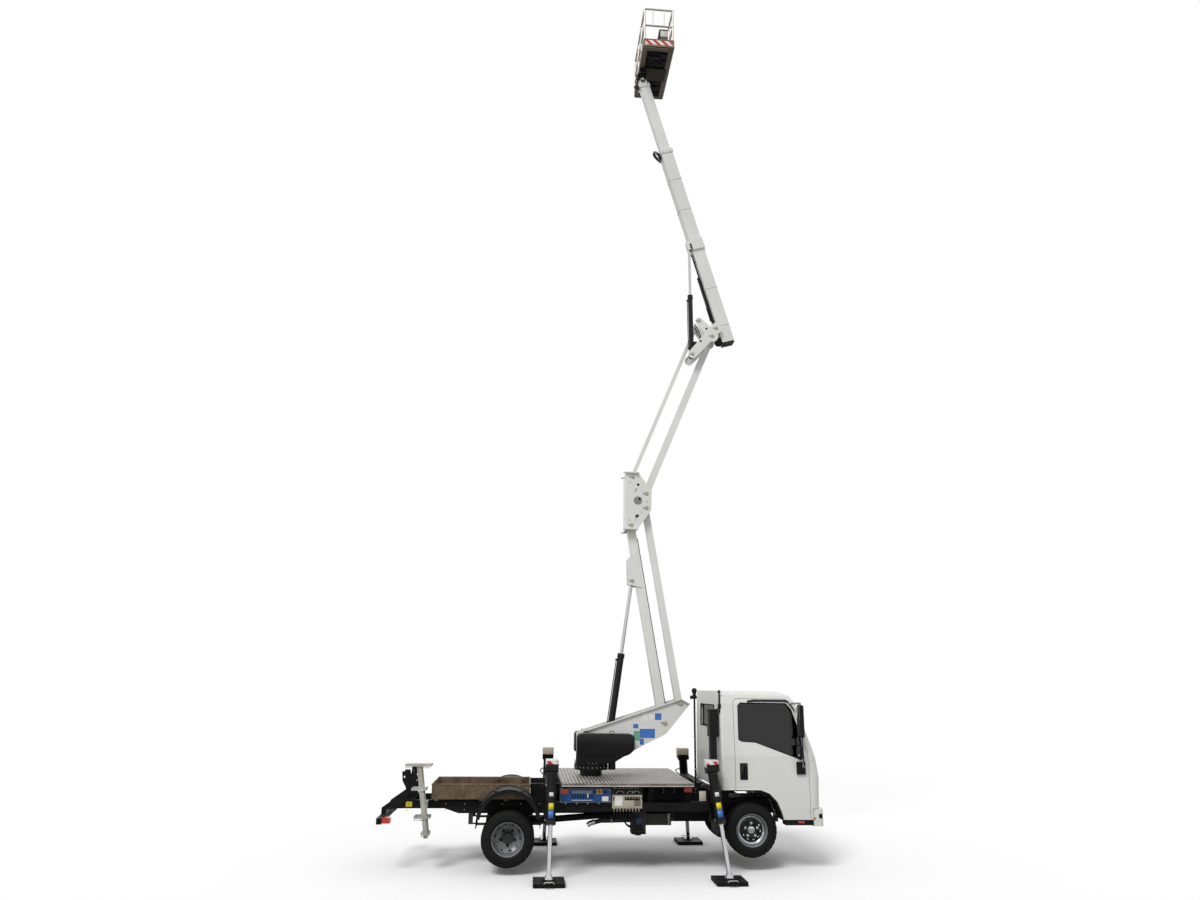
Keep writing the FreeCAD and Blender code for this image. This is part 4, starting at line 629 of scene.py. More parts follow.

# ladder: lip and bolts of each tread, and rubber feet of the stringers; the rows of black discs along each
# lip are painted shade in its holes
bm = bmesh.new()
for x0, x1, z in ((-1430, -1077, 1352), (-1330, -1130, 1040), (-1275, -1061, 680), (-1170, -1060, 470)):
    for i in range(int((x1 - x0) // 24)):
        add_bar(bm, (x0 + 14 + i * 24, -691, z - 15), (x0 + 14 + i * 24, -689.5, z - 15), 7, 10)
for x, z in ((-1300, 1337), (-1200, 1337), (-1240, 1025), (-1180, 665), (-1120, 455)):
    add_bar(bm, (x, -692, z), (x, -696, z), 8, 6)
finish("ladder_holes", bm, black_plastic)
print("deck, tray and steps")

# %% [markdown]
# ## Ground control panel
# The blue face carries a round red stop button on its yellow square, dials, lever slots and blank
# plates. The cream valve box beside it has a row of levers on top, and its hoses leave downwards.

# %% Control panel and valve box
PANEL_Y = -950.0
bm = bmesh.new()
add_box(bm, (688, 1368), (PANEL_Y - 4, PANEL_Y - 0.2), (927, 1096), 1.5)
finish("panel_face", bm, blue_paint)
bm = bmesh.new()
for z in (1068, 1046, 952):
    add_box(bm, (840, 1120), (PANEL_Y - 5, PANEL_Y - 4), (z - 3, z + 3))
add_box(bm, (1252, 1340), (PANEL_Y - 5.2, PANEL_Y - 4), (940, 1000), 0.5)
add_bar(bm, (1060, PANEL_Y - 4, 1010), (1060, PANEL_Y - 5.5, 1010), 26, 32)
finish("panel_plates", bm, white_label)
bm = bmesh.new()
add_box(bm, (1177, 1253), (PANEL_Y - 6, PANEL_Y - 4), (1030, 1092), 1)
finish("stop_plate", bm, yellow_label)
bm = bmesh.new()
add_bar(bm, (1215, PANEL_Y - 6, 1061), (1215, PANEL_Y - 22, 1061), 13, 24)
add_bar(bm, (1215, PANEL_Y - 20, 1061), (1215, PANEL_Y - 34, 1061), 22, 32, 19, bevel=2)
finish("stop_button", bm, red_label)
bm = bmesh.new()
for i in range(8):
    x = 850 + i * 38
    # a black box behind each lever: painted shade in its slot
    add_box(bm, (x - 9, x + 9), (PANEL_Y - 6, PANEL_Y - 4), (975, 1027), 1)
    add_bar(bm, (x, PANEL_Y - 5, 1001), (x, PANEL_Y - 24, 1006), 4, 10)
    add_ball(bm, (x, PANEL_Y - 27, 1007), 7, 12)
add_bar(bm, (1300, PANEL_Y - 4, 1056), (1300, PANEL_Y - 14, 1056), 15, 24, bevel=1)
add_bar(bm, (1150, PANEL_Y - 4, 1056), (1150, PANEL_Y - 12, 1056), 12, 24, bevel=1)
add_box(bm, (1147, 1153), (PANEL_Y - 20, PANEL_Y - 10), (1046, 1066), 1)
finish("panel_levers", bm, black_plastic)
bm = bmesh.new()
for x in (700, 1356):
    for z in (939, 1084):
        add_bar(bm, (x, PANEL_Y - 4, z), (x, PANEL_Y - 7, z), 6, 6)
for i in range(9):
    x = 1425 + i * 40
    add_bar(bm, (x, -925, 1100), (x + 8, -940, 1140), 5, 10)
    add_box(bm, (x - 12, x + 12), (-938, -912), (1100, 1108), 1)
finish("valve_levers", bm, zinc)
bm = bmesh.new()
for i in range(9):
    add_ball(bm, (1425 + i * 40 + 9, -942, 1144), 11, 12)
finish("valve_lever_knobs", bm, blue_paint)
bm = bmesh.new()
add_plate(bm, [(1395, 1018), (1395, 876), (1425, 848), (1768, 848), (1798, 876), (1798, 1018)],
          PANEL_Y - 2.5, PANEL_Y - 0.2, 1)
finish("valve_box_door", bm, cream_paint)
bm = bmesh.new()
add_box(bm, (1394, 1799), (PANEL_Y - 3, PANEL_Y - 0.2), (1022, 1099), 1)
add_box(bm, (1560, 1770), (PANEL_Y - 4, PANEL_Y - 2.5), (950, 992), 1)
finish("lever_bay", bm, black_plastic)
bm = bmesh.new()
for x0 in (1440, 1590, 1660):
    strip(bm, [(x0, PANEL_Y - 6, 1040), (x0 + 30, PANEL_Y - 8, 1066), (x0 + 80, PANEL_Y - 8, 1072),
               (x0 + 110, PANEL_Y - 6, 1046)], 5, 8)
for i in range(5):
    add_bar(bm, (1585 + i * 40, PANEL_Y - 4, 971), (1585 + i * 40, PANEL_Y - 18, 976), 5, 8)
finish("lever_loops", bm, zinc)
bm = bmesh.new()
# seven black stripes: painted shade in the vent's slits
for i in range(7):
    add_box(bm, (1690, 1780), (PANEL_Y - 4.5, PANEL_Y - 2.5), (880 + i * 11, 885 + i * 11), 0.5)
add_box(bm, (1405, 1421), (PANEL_Y - 10, PANEL_Y - 2.5), (950, 1000), 2)
add_bar(bm, (1790, PANEL_Y - 2.5, 975), (1790, PANEL_Y - 12, 975), 9, 16)
finish("valve_box_vent", bm, black_plastic)
bm = bmesh.new()
add_box(bm, (1425, 1530), (PANEL_Y - 3.2, PANEL_Y - 2.5), (880, 1005))
finish("valve_box_stickers", bm, white_label)

# fittings under the boxes and the hoses to the frame
bm = bmesh.new()
for i in range(9):
    x = 1420 + i * 42
    add_bar(bm, (x, -925, 846), (x, -925, 826), 12, 6)
    add_bar(bm, (x, -925, 828), (x, -925, 806), 9, 12)
for i in range(4):
    x = 760 + i * 150
    add_bar(bm, (x, -925, 923), (x, -925, 900), 12, 6)
finish("hose_fittings", bm, zinc)
for i in range(9):
    x = 1420 + i * 42
    hose("valve_hose_%d" % i, [(x, -925, 808), (x, -925, 740 - 9 * (i % 3)),
                               (x - 30, -900, 715 - 9 * (i % 3)),
                               (x - 90, -700, 760), (x - 120, -380, 800)], 8)
for i in range(4):
    x = 760 + i * 150
    hose("panel_hose_%d" % i, [(x, -925, 902), (x, -925, 850), (x + 40, -880, 830), (x + 120, -560, 850),
                               (x + 150, -372, 860)], 7)
print("control panel")

# %% [markdown]
# ## Under the frame
# The hydraulic pump hangs by the exhaust, whose chromed tip turns down at the rear. Tank and battery
# box have their straps, cap and lid.

# %% Exhaust, pump, tank, chassis fittings
bm = bmesh.new()
tip = [(1180, -598, 622), (1120, -604, 606), (1085, -607, 580)]
for a, b in zip(tip, tip[1:]):
    add_bar(bm, a, b, 33, 24)
add_ball(bm, tip[1], 33, 24)
add_bar(bm, (1182, -598, 622), (1150, -600, 616), 36, 24)
finish("exhaust_tip", bm, chrome)
bm = bmesh.new()
for x in (1835, 2215):
    add_box(bm, (x - 12, x + 12), (-643, -477), (582, 738), 3)
for x in (1420, 1700):
    add_turned(bm, [(37, -9), (40, -9), (40, 9), (37, 9)], (x, -560, 643), 24, axis=(1, 0, 0))
finish("exhaust_straps", bm, steel)
bm = bmesh.new()
add_bar(bm, (1788, -600, 477), (1788, -600, 452), 46, 32, bevel=3)
add_bar(bm, (1788, -700, 655), (1788, -712, 655), 62, 32, bevel=3)
for z in (520, 560, 600, 700, 740):
    add_box(bm, (1694, 1882), (-704, -700), (z - 3, z + 3), 1)
finish("pump_flange", bm, grey_casting)
bm = bmesh.new()
add_bar(bm, (1788, -712, 655), (1788, -722, 655), 30, 24, bevel=2)
finish("pump_cap", bm, blue_paint)
for i, (y, z) in enumerate(((-640, 560), (-560, 560), (-640, 780))):
    hose("pump_hose_%d" % i, [(1695, y, z), (1640, y, z + 8), (1590, y + 60, z + 90), (1560, -420, 800),
                              (1540, -372, 850)], 11)
bm = bmesh.new()
for x in (1640, 1900, 2160):
    add_box(bm, (x - 16, x + 16), (960.2, 964), (478, 802), 1)
    add_box(bm, (x - 16, x + 16), (738, 962), (476.5, 479.8), 0.5)
    add_bar(bm, (x, 964, 790), (x, 976, 790), 6, 6)
add_box(bm, (716, 1254), (736, 963.5), (786, 803), 3)
for x in (800, 1170):
    add_box(bm, (x - 14, x + 14), (963.5, 968), (740, 796), 1)
finish("tank_straps", bm, black_paint)
bm = bmesh.new()
add_bar(bm, (2230, 960, 742), (2230, 985, 742), 38, 32, bevel=4)
finish("tank_cap", bm, black_plastic)

# rails: bolts of the cross members, brake and cable lines
bm = bmesh.new()
for s in (-1, 1):
    for x in range(-1400, 4000, 260):
        for z in (750, 830):
            add_bar(bm, (x, s * 370, z), (x, s * 377, z), 8, 6)
finish("frame_bolts", bm, steel)
for side, s in SIDES:
    hose("frame_line_" + side, [(-1500, s * 376, 868), (-900, s * 376, 866), (600, s * 376, 868),
                                (2200, s * 376, 866), (2800, s * 376, 868)], 6)
bm = bmesh.new()
for z in (985, 1030):
    for s in (-1, 1):
        for i in range(14):
            x = 640 + i * 155
            if abs(x - 1172) > 200:
                add_bar(bm, (x, s * 370, z), (x, s * 376, z), 8, 6)
finish("subframe_bolts", bm, steel)
print("under the frame")

# %% [markdown]
# ## Tail
# The rear bar carries a lamp at each end and a label. The boom rest is
# a cradle of four drilled plates: outline and holes are filled as one face set, then thickened.

# %% Tail, rest and mudguards
bm = bmesh.new()
add_box(bm, (-1430, -1345), (-372.5, -370.2), (790, 872), 0.5)
finish("tail_label", bm, yellow_label)
for side, s in SIDES:
    bm = bmesh.new()
    add_box(bm, (-1696.5, -1692.3), (s * 634, s * 668), (635, 695), 1.5)
    finish("tail_indicator_" + side, bm, orange_lens)
    bm = bmesh.new()
    add_box(bm, (-1695.5, -1692.3), (s * 672, s * 741), (635, 695), 1.5)
    finish("tail_lamp_face_" + side, bm, red_lens)
REST = [(-1440, 880), (-1333, 880), (-1331, 1300), (-1402, 1300), (-1412, 1190), (-1452, 1176),
        (-1462, 1234), (-1539, 1228), (-1528, 1110),
        (-1478, 1020)]
REST_HOLES = [(-1385, 935), (-1385, 1010), (-1370, 1090), (-1440, 1090), (-1366, 1170), (-1500, 1160),
              (-1366, 1245)]


def holed_plate(bm, outline, holes, r, y0, y1):
    """Flat plate with drilled holes: its outline and the holes are filled as one face set, then thickened."""
    edges = []
    for loop in [outline] + [[(x + r * math.cos(math.pi * i / 10), z + r * math.sin(math.pi * i / 10))
                              for i in range(20)] for x, z in holes]:
        verts = [bm.verts.new(at(x, y0, z)) for x, z in loop]
        edges += [bm.edges.new((a, b)) for a, b in zip(verts, verts[1:] + verts[:1])]
    filled = bmesh.ops.triangle_fill(bm, edges=edges, use_beauty=True)["geom"]
    faces = [f for f in filled if isinstance(f, bmesh.types.BMFace)]
    moved = bmesh.ops.extrude_face_region(bm, geom=faces)["geom"]
    bmesh.ops.translate(bm, verts=[v for v in moved if isinstance(v, bmesh.types.BMVert)],
                        vec=Vector((0, (y1 - y0) * MM, 0)))
    bmesh.ops.recalc_face_normals(bm, faces=bm.faces)


bm = bmesh.new()
for y in (-150, -116, 110, 144):
    holed_plate(bm, REST, REST_HOLES, 17, y, y + 6)
for x, z in ((-1385, 900), (-1370, 1130), (-1500, 1200), (-1366, 1280)):
    add_bar(bm, (x, -149, z), (x, 149, z), 12, 16)
add_box(bm, (-1538, -1332), (-368, 368), (880.2, 893.5), 3)
finish("boom_rest_cradle", bm, black_paint, "root", ["boom_rest"])
bm = bmesh.new()
for s in (-1, 1):
    add_box(bm, (-1400, -1334), (s * 112, s * 148), (1296, 1306), 3)
    add_box(bm, (-1536, -1466), (s * 112, s * 148), (1224, 1236), 3)
finish("boom_rest_pads", bm, rubber)

# mudguards: lips, stays and outer rims
GUARD_R, RIM_R, GUARD_Z = 430, 384, 650
bm = bmesh.new()
for s in (-1, 1):
    for y in (505, 955):
        lip = [((GUARD_R + 1) * math.cos(a), GUARD_Z + (GUARD_R + 1) * math.sin(a))
               for a in [math.radians(12 + 156 * i / 24) for i in range(25)]]
        for a, b in zip(lip, lip[1:]):
            add_bar(bm, (a[0], s * y, a[1]), (b[0], s * y, b[1]), 7, 8)
    for x in (-180, 180):
        z = GUARD_Z + math.sqrt(GUARD_R ** 2 - x ** 2) + 4
        add_bar(bm, (x, s * 380, z + 6), (x, s * 900, z + 6), 10, 12)
        for y in (600, 860):
            add_box(bm, (x - 22, x + 22), (s * y - 16, s * y + 16), (z - 1, z + 14), 1.5)
    rim = [math.radians(8 + 164 * i / 16) for i in range(17)]
    for a0, a1 in zip(rim, rim[1:]):
        corners = [(r * math.cos(a), GUARD_Z + r * math.sin(a)) for r, a in
                   ((GUARD_R, a0), (GUARD_R, a1), (RIM_R, a1), (RIM_R, a0))]
        add_plate(bm, corners, s * 948, s * 954.5)
finish("mudguard_lips", bm, black_plastic)
print("tail")

# %% [markdown]
# ## Outriggers
# Each jack tube has a gland ring at its foot, a cap with hazard tape and coloured labels. The pad
# carries a rope loop for lifting.


# %% Outriggers
def along(a, b, t):
    return tuple(p + (q - p) * t for p, q in zip(a, b))


JACK_TOP_Z, JACK_TOP_Y, FOOT_Y, FOOT_Z = 1430.0, 1050.0, 1372.0, 100.0
JACK_LONG, HEAD, LABEL_R = 765.0, 86.5, 67.0
for end, top_x, foot_x in (("rear", 566.0, 545.0), ("front", 2738.0, 2876.0)):
    for side, s in SIDES:
        name = end + "_" + side
        top, foot = (top_x, s * JACK_TOP_Y, JACK_TOP_Z), (foot_x, s * FOOT_Y, FOOT_Z)
        length = math.dist(top, foot)
        low = JACK_LONG / length
        bm = bmesh.new()
        for t0, t1, r in ((low - 0.035, low, 71), (0.09, 0.10, 69), (low - 0.30, low - 0.285, 69)):
            add_ring(bm, along(top, foot, t0), along(top, foot, t1), 66.3, r)
        finish("jack_rings_" + name, bm, black_gloss)
        bm = bmesh.new()
        add_ring(bm, along(top, foot, low), along(top, foot, low + 0.008), 30, 46)
        for t in (0.20, 0.52):
            p = along(top, foot, t)
            add_bar(bm, (p[0] - 60, p[1], p[2]), (p[0] - 82, p[1], p[2]), 12, 6)
        finish("jack_gland_" + name, bm, zinc)
        port = along(top, foot, 0.20)
        hose("jack_hose_" + name, [(port[0] - 80, port[1], port[2]), (top_x - 120, s * 1090, 1155),
                                   (top_x - 110, s * 1000, 1120),
                                   (top_x - 60, s * 800, 1090), (top_x - 40, s * 500, 1080)], 8)
        # the cap on top, with tape on its outer faces
        bm = bmesh.new()
        add_box(bm, (top_x - HEAD, top_x + HEAD), (s * (JACK_TOP_Y - HEAD), s * (JACK_TOP_Y + HEAD)),
                (1388, 1486.6), 5)
        finish("jack_cap_" + name, bm, white_paint if s < 0 else cream_paint)
        bm = bmesh.new()
        ahead = 1 if end == "front" else -1
        add_box(bm, (top_x - 70, top_x + 70), (s * (JACK_TOP_Y + HEAD + 0.1), s * (JACK_TOP_Y + HEAD + 1.1)),
                (1398, 1470))
        add_box(bm, (top_x + ahead * (HEAD + 0.1), top_x + ahead * (HEAD + 1.1)),
                (s * (JACK_TOP_Y - 70), s * (JACK_TOP_Y + 70)), (1398, 1470))
        finish("jack_tape_" + name, bm, tape)
        # labels wrap the tube low down
        for label, material, t0, t1, wide in (("yellow", yellow_label, low - 0.19, low - 0.13, 60),
                                              ("blue", blue_label, low - 0.125, low - 0.055, 60),
                                              ("round", white_label, 0.26, 0.31, 50)):
            p, q = along(top, foot, t0), along(top, foot, t1)
            bm = bmesh.new()
            axis = (spot(q) - spot(p)).normalized()
            out = Vector((0, s, 0)) - axis * axis.y * s
            out.normalize()
            reach = Matrix.Rotation(math.radians(-wide / 2), 3, axis) @ out * (LABEL_R * MM)
            ends = [bm.verts.new(spot(place) + reach) for place in (p, q)]
            bmesh.ops.spin(bm, geom=ends + [bm.edges.new(ends)], cent=spot(p), axis=axis,
                           angle=math.radians(wide), steps=8, use_duplicate=False)
            thick(finish("jack_label_%s_%s" % (label, name), bm, material), 0.6)
        # rope loop and bolts of the pad
        pad = "leg_" + name
        x, y = foot_x, s * FOOT_Y
        hose("pad_rope_" + name, [(x - 60, y + s * 196, 44), (x - 66, y + s * 214, 60),
                                  (x - 40, y + s * 226, 74), (x, y + s * 228, 70),
                                  (x + 40, y + s * 226, 74), (x + 66, y + s * 214, 60),
                                  (x + 60, y + s * 196, 44)], 6, pad,
             rope_white)
        bm = bmesh.new()
        add_turned(bm, [(33, 0), (62, 0), (70, 6), (60, 14), (40, 22), (33, 22)], (x, y, 50.2), 32,
                   axis=(0, 0, 1))
        for p in ((-52, -52), (52, -52), (52, 52), (-52, 52)):
            add_bar(bm, (x + p[0] * 1.5, y + p[1] * 1.5, 50), (x + p[0] * 1.5, y + p[1] * 1.5, 60), 11, 6)
        finish("pad_socket_" + name, bm, black_paint, pad)
bm = bmesh.new()
add_box(bm, (2560, 2652), (-1083.5, -1080.4), (960, 1085), 1)
add_box(bm, (2566, 2646), (-1090, -1083), (985, 1060), 2)
finish("front_leg_bracket", bm, cream_paint)
# side markers
bm = bmesh.new()
for x, y, z in ((744, -964.5, 1062), (744, 914.5, 1062), (2442, 914.5, 1080)):
    add_box(bm, (x - 48, x + 48), (y - 1, y + 1), (z - 24, z + 24), 0.5)
finish("side_reflectors", bm, red_lens)
print("outriggers")

# %% [markdown]
# ## Turret
# The near plate of the arm carries blank stickers. Pins end in cream caps with a keeper plate, and
# the slew ring has its bolts.

# %% Turret
LOWER_PIN, LOWER_TIE_PIN = (2247.0, 1935.0), (2487.0, 2215.0)
KNUCKLE_PIN, KNUCKLE_TIE_PIN = (1744.0, 4908.8), (1984.0, 5188.8)
UPPER_PIN, UPPER_TIE_PIN = (1983.0, 5419.8), (1763.0, 5686.8)
LINK_PIN, LINK_TIE_PIN, LUFF_PIN = (3097.7, 8160.8), (2877.7, 8427.8), (3167.7, 8307.8)
LOWER_FOOT, LOWER_EYE = (1435.0, 1690.0), (1770.0, 4048.0)
UPPER_FOOT, UPPER_EYE = (2760.7, 7824.8), (2742.6, 9819.2)
LEVEL_PIN = (1944.3, 13158.5)


def pin_caps(name, pins, y, body, r=31.0, tall=10.0):
    """Cream pin ends on both sides, each with a bolted keeper."""
    bm, keeper = bmesh.new(), bmesh.new()
    for x, z in pins:
        for s in (-1, 1):
            add_bar(bm, (x, s * (y + 0.3), z), (x, s * (y + tall), z), r, 32, bevel=1.5)
            add_bar(bm, (x, s * (y + tall), z), (x, s * (y + tall + 4), z), 7, 12)
            add_plate(keeper, [(x - r - 26, z - 9), (x - r + 6, z - 9), (x - r + 6, z + 9),
                               (x - r - 26, z + 9)],
                      s * (y + 0.3), s * (y + 5.5))
            add_bar(keeper, (x - r - 15, s * (y + 5), z), (x - r - 15, s * (y + 11), z), 6, 6)
    finish(name + "_pin_ends", bm, cream_paint, body)
    finish(name + "_keepers", keeper, steel, body)


def sticker(bm, x, z, wide, tall, y):
    """Thin blank label, level on a plate that faces the truck's right."""
    corners = [(x + a * wide / 2, z + b * tall / 2) for a, b in ((-1, -1), (1, -1), (1, 1), (-1, 1))]
    add_plate(bm, corners, y, y - 0.8)


pin_caps("arm", [LOWER_PIN, LOWER_TIE_PIN], 204, "turret")


def two_tone(name, source, plane, normal, upper, lower, body):
    """A CAD node's own mesh, cut by a plane, in a second finish behind the plane."""
    bm = bmesh.new()
    bm.from_mesh(nodes[source].data)
    bm.transform(nodes[source].matrix_world)
    bmesh.ops.remove_doubles(bm, verts=bm.verts, dist=1e-6)
    at_plane, normal = spot(plane), Vector(normal)
    bmesh.ops.bisect_plane(bm, geom=bm.verts[:] + bm.edges[:] + bm.faces[:], plane_co=at_plane,
                           plane_no=normal, dist=1e-6)
    for face in bm.faces:
        face.material_index = int((face.calc_center_median() - at_plane).dot(normal) < 0)
    made = finish(name, bm, upper, body, [source], smooth=30)
    made.data.materials.append(lower)
    return made


two_tone("turret_arm_painted", "turret_arm", (1240, 0, 1492), (0, 0, 1), white_paint, black_gloss, "turret")
ARM_FACE = -196.2
for name, material, labels in (
        ("blue", blue_label, [(1811, 1882, 75, 60), (2146, 2021, 95, 95), (1984, 1781, 225, 130),
                              (1901, 1664, 60, 85)]),
        ("green", green_label, [(1826, 1747, 90, 140)]),
        ("white", white_label, [(1943, 2014, 100, 100), (2048, 2014, 90, 75)])):
    bm = bmesh.new()
    for x, z, wide, tall in labels:
        sticker(bm, x, z, wide, tall, ARM_FACE)
    finish("arm_label_" + name, bm, material, "turret")

bm = bmesh.new()
for i in range(28):
    a = 2 * math.pi * i / 28
    x, y = 1172 + 226 * math.cos(a), 226 * math.sin(a)
    if abs(y) > 204:
        add_bar(bm, (x, y, 1355), (x, y, 1369), 9, 6)
for i in range(24):
    a = 2 * math.pi * i / 24
    add_bar(bm, (1172 + 247 * math.cos(a), 247 * math.sin(a), 1300),
            (1172 + 252 * math.cos(a), 252 * math.sin(a), 1300), 9, 6)
finish("slew_bolts", bm, steel, "turret")
bm = bmesh.new()
add_bar(bm, (1475, -60, 1392), (1475, -60, 1450), 42, 32, bevel=3)
add_box(bm, (1440, 1510), (-100, -20), (1398, 1424), 4)
for y in (-85, -35):
    add_bar(bm, (1500, y, 1440), (1540, y, 1440), 12, 6)
finish("slew_motor", bm, black_gloss, "turret")
for i, y in enumerate((-85, -35)):
    hose("slew_hose_%d" % i, [(1540, y, 1440), (1590, y, 1446), (1640, y + 10, 1500), (1680, y + 20, 1600),
                              (1700, y + 20, 1690)], 9, "turret")
# covers: a rounded moulding each side, with hooks on top and screws
COVER = [(934, 1490), (1618, 1472), (1700, 1500), (1768, 1566), (1768, 1752), (1715, 1784), (960, 1786),
         (934, 1760)]
for side, s in SIDES:
    bm = bmesh.new()
    add_plate(bm, COVER, s * 197, s * 431, 26, 4)
    finish("cover_" + side, bm, black_gloss, "turret", ["turret_covers"], smooth=50)
bm = bmesh.new()
for s in (-1, 1):
    for x in (1040, 1420):
        add_bar(bm, (x, s * 300, 1786), (x, s * 300, 1812), 5, 10)
        add_bar(bm, (x + 60, s * 300, 1786), (x + 60, s * 300, 1812), 5, 10)
        add_bar(bm, (x, s * 300, 1812), (x + 60, s * 300, 1812), 5, 10)
    for x in (990, 1200, 1420, 1630):
        for z in (1530, 1735):
            add_bar(bm, (x, s * 431, z), (x, s * 434.5, z), 9, 16, bevel=1)
finish("cover_fittings", bm, black_plastic, "turret")
print("turret")

# %% [markdown]
# ## Parallelogram booms
# The knuckle and the upper link have dark discs of painted shade for sight holes, and pin ends. Hoses
# run up the lower boom in clips and stay on that one body, so that none is stretched when a joint turns.

# %% Lower boom, knuckle, upper boom
pin_caps("knuckle", [KNUCKLE_PIN, KNUCKLE_TIE_PIN, UPPER_PIN, UPPER_TIE_PIN], 165, "knuckle_link", 30)
pin_caps("link", [LINK_PIN, LINK_TIE_PIN, LUFF_PIN], 165, "upper_link", 30)
pin_caps("lower_eye", [LOWER_EYE], 95, "lower_boom", 27)
pin_caps("upper_foot", [UPPER_FOOT], 165, "upper_link", 26)


def discs(name, places, y, r, body):
    """Dark discs of painted shade that stand for sight holes on both faces of a pair of plates."""
    bm = bmesh.new()
    for x, z in places:
        for s in (-1, 1):
            add_bar(bm, (x, s * y, z), (x, s * (y + 0.8), z), r, 24)
    return finish(name, bm, rubber, body)


# dark discs as painted shade where the knuckle and the link have sight holes
discs("knuckle_holes_painted_shade", [(1840, 5060), (1870, 5330), (1850, 5560)], 165.1, 21, "knuckle_link")
discs("link_holes_painted_shade", [(3000, 8290), (2900, 8060)], 165.1, 18, "upper_link")
bm = bmesh.new()
for x, z in ((1710, 4990), (1800, 4990), (1900, 5120), (1990, 5290), (1790, 5440), (1720, 5600),
             (1850, 5690)):
    for s in (-1, 1):
        add_bar(bm, (x, s * 165, z), (x, s * 174, z), 9, 6)
finish("knuckle_bolts", bm, cream_paint, "knuckle_link")


def run(name, p, q, offset, ys, r, body, start_at=0.03, end_at=0.97, clip=6):
    """Hoses beside a straight boom, held off its face in clips."""
    (x0, z0), (x1, z1) = p, q
    length = math.hypot(x1 - x0, z1 - z0)
    ux, uz = (x1 - x0) / length, (z1 - z0) / length
    nx, nz = uz * offset, -ux * offset
    def place(t, y, out=0.0):
        k = 1 + out / abs(offset)
        return (x0 + ux * length * t + nx * k, y, z0 + uz * length * t + nz * k)
    for i, y in enumerate(ys):
        bm = bmesh.new()
        add_bar(bm, place(start_at, y), place(end_at, y), r, 12)
        finish("%s_hose_%d" % (name, i), bm, rubber, body, smooth=50)
    bm = bmesh.new()
    for k in range(clip):
        t = start_at + 0.04 + (end_at - start_at - 0.08) * k / (clip - 1)
        low, high = min(ys) - r - 5, max(ys) + r + 5
        add_bar(bm, place(t, low), place(t, high), r + 3, 10)
    finish(name + "_clips", bm, black_plastic, body)


run("lower_boom", LOWER_PIN, KNUCKLE_PIN, 74, (-42, -14, 14, 42), 8, "lower_boom", 0.06, 0.93)

def cylinder_fittings(name, foot, eye, y, long, r, body):
    """Collars, ports and transfer pipe on the barrel of a lift cylinder."""
    direction = Vector((eye[0] - foot[0], 0, eye[1] - foot[1])).normalized()
    across = Vector((direction.z, 0, -direction.x))

    def place(t, out=0.0, dy=0.0):
        p = Vector((foot[0], y, foot[1])) + direction * t + across * out
        return (p.x, p.y + dy, p.z)
    bm = bmesh.new()
    add_ring(bm, place(long - 70), place(long - 4), r + 0.3, r + 6)
    add_ring(bm, place(95), place(118), r + 0.3, r + 5)
    for t in (135, long - 100):
        add_bar(bm, place(t, -r + 4), place(t, -r - 20), 17, 20, bevel=2)
    add_bar(bm, place(150, -r - 12), place(long - 110, -r - 12), 7, 12)
    finish(name + "_collars", bm, black_gloss, body)
    bm = bmesh.new()
    for t in (135, long - 100):
        add_bar(bm, place(t, -r - 20), place(t, -r - 32), 11, 6)
    for k in range(6):
        a = 2 * math.pi * k / 6
        add_bar(bm, place(long - 4, math.cos(a) * (r - 6), math.sin(a) * (r - 6)),
                place(long + 2.5, math.cos(a) * (r - 6), math.sin(a) * (r - 6)), 5, 6)
    finish(name + "_ports", bm, zinc, body)
    return place


cylinder_fittings("lower_cylinder", LOWER_FOOT, LOWER_EYE, 0, 1260, 50, "lower_cylinder_barrel")
upper_at = cylinder_fittings("upper_cylinder", UPPER_FOOT, UPPER_EYE, -70, 1104, 40, "upper_cylinder_barrel")
bm = bmesh.new()
p = upper_at(190, 62)
add_box(bm, (p[0] - 24, p[0] + 24), (-112, -30), (p[2] - 60, p[2] + 60), 4)
add_box(bm, (p[0] - 12, p[0] + 12), (-122, -112), (p[2] - 34, p[2] + 34), 3)
finish("upper_valve_block", bm, black_gloss, "upper_cylinder_barrel")
bm = bmesh.new()
for dz in (-36, 0, 36):
    add_bar(bm, (p[0] + 24, -70, p[2] + dz), (p[0] + 42, -70, p[2] + dz), 10, 6)
finish("upper_valve_fittings", bm, zinc, "upper_cylinder_barrel")
for i, dz in enumerate((-36, 36)):
    hose("upper_valve_hose_%d" % i, [(p[0] + 42, -70, p[2] + dz), (p[0] + 80, -74, p[2] + dz),
                                     (p[0] + 108, -80, p[2] + dz + 60),
                                     (p[0] + 90, -84, p[2] + dz + 170), (p[0] + 20, -80, p[2] + dz + 300),
                                     (p[0] - 6, -74, p[2] + dz + 360)], 8, "upper_cylinder_barrel")
print("booms")

# %% [markdown]
# ## Telescopic boom
# Places on the boom are (s, n, y): along it from the luffing pin, across it from the pin and sideways.
# The base has a collar where the cylinder pulls, a wear-pad frame at its mouth, a cable chain, the
# reel's flanges and spokes, and the levelling cylinder.

# %% Telescopic boom
D, N = Vector((-0.27564, 0, 0.96126)), Vector((0.96126, 0, 0.27564))
UNDER, TOP = 56.0, 266.0
MID_N = (75.0, 247.0)


def boom_at(s, n, y):
    p = Vector((LUFF_PIN[0], y, LUFF_PIN[1])) + D * s + N * n
    return tuple(p)


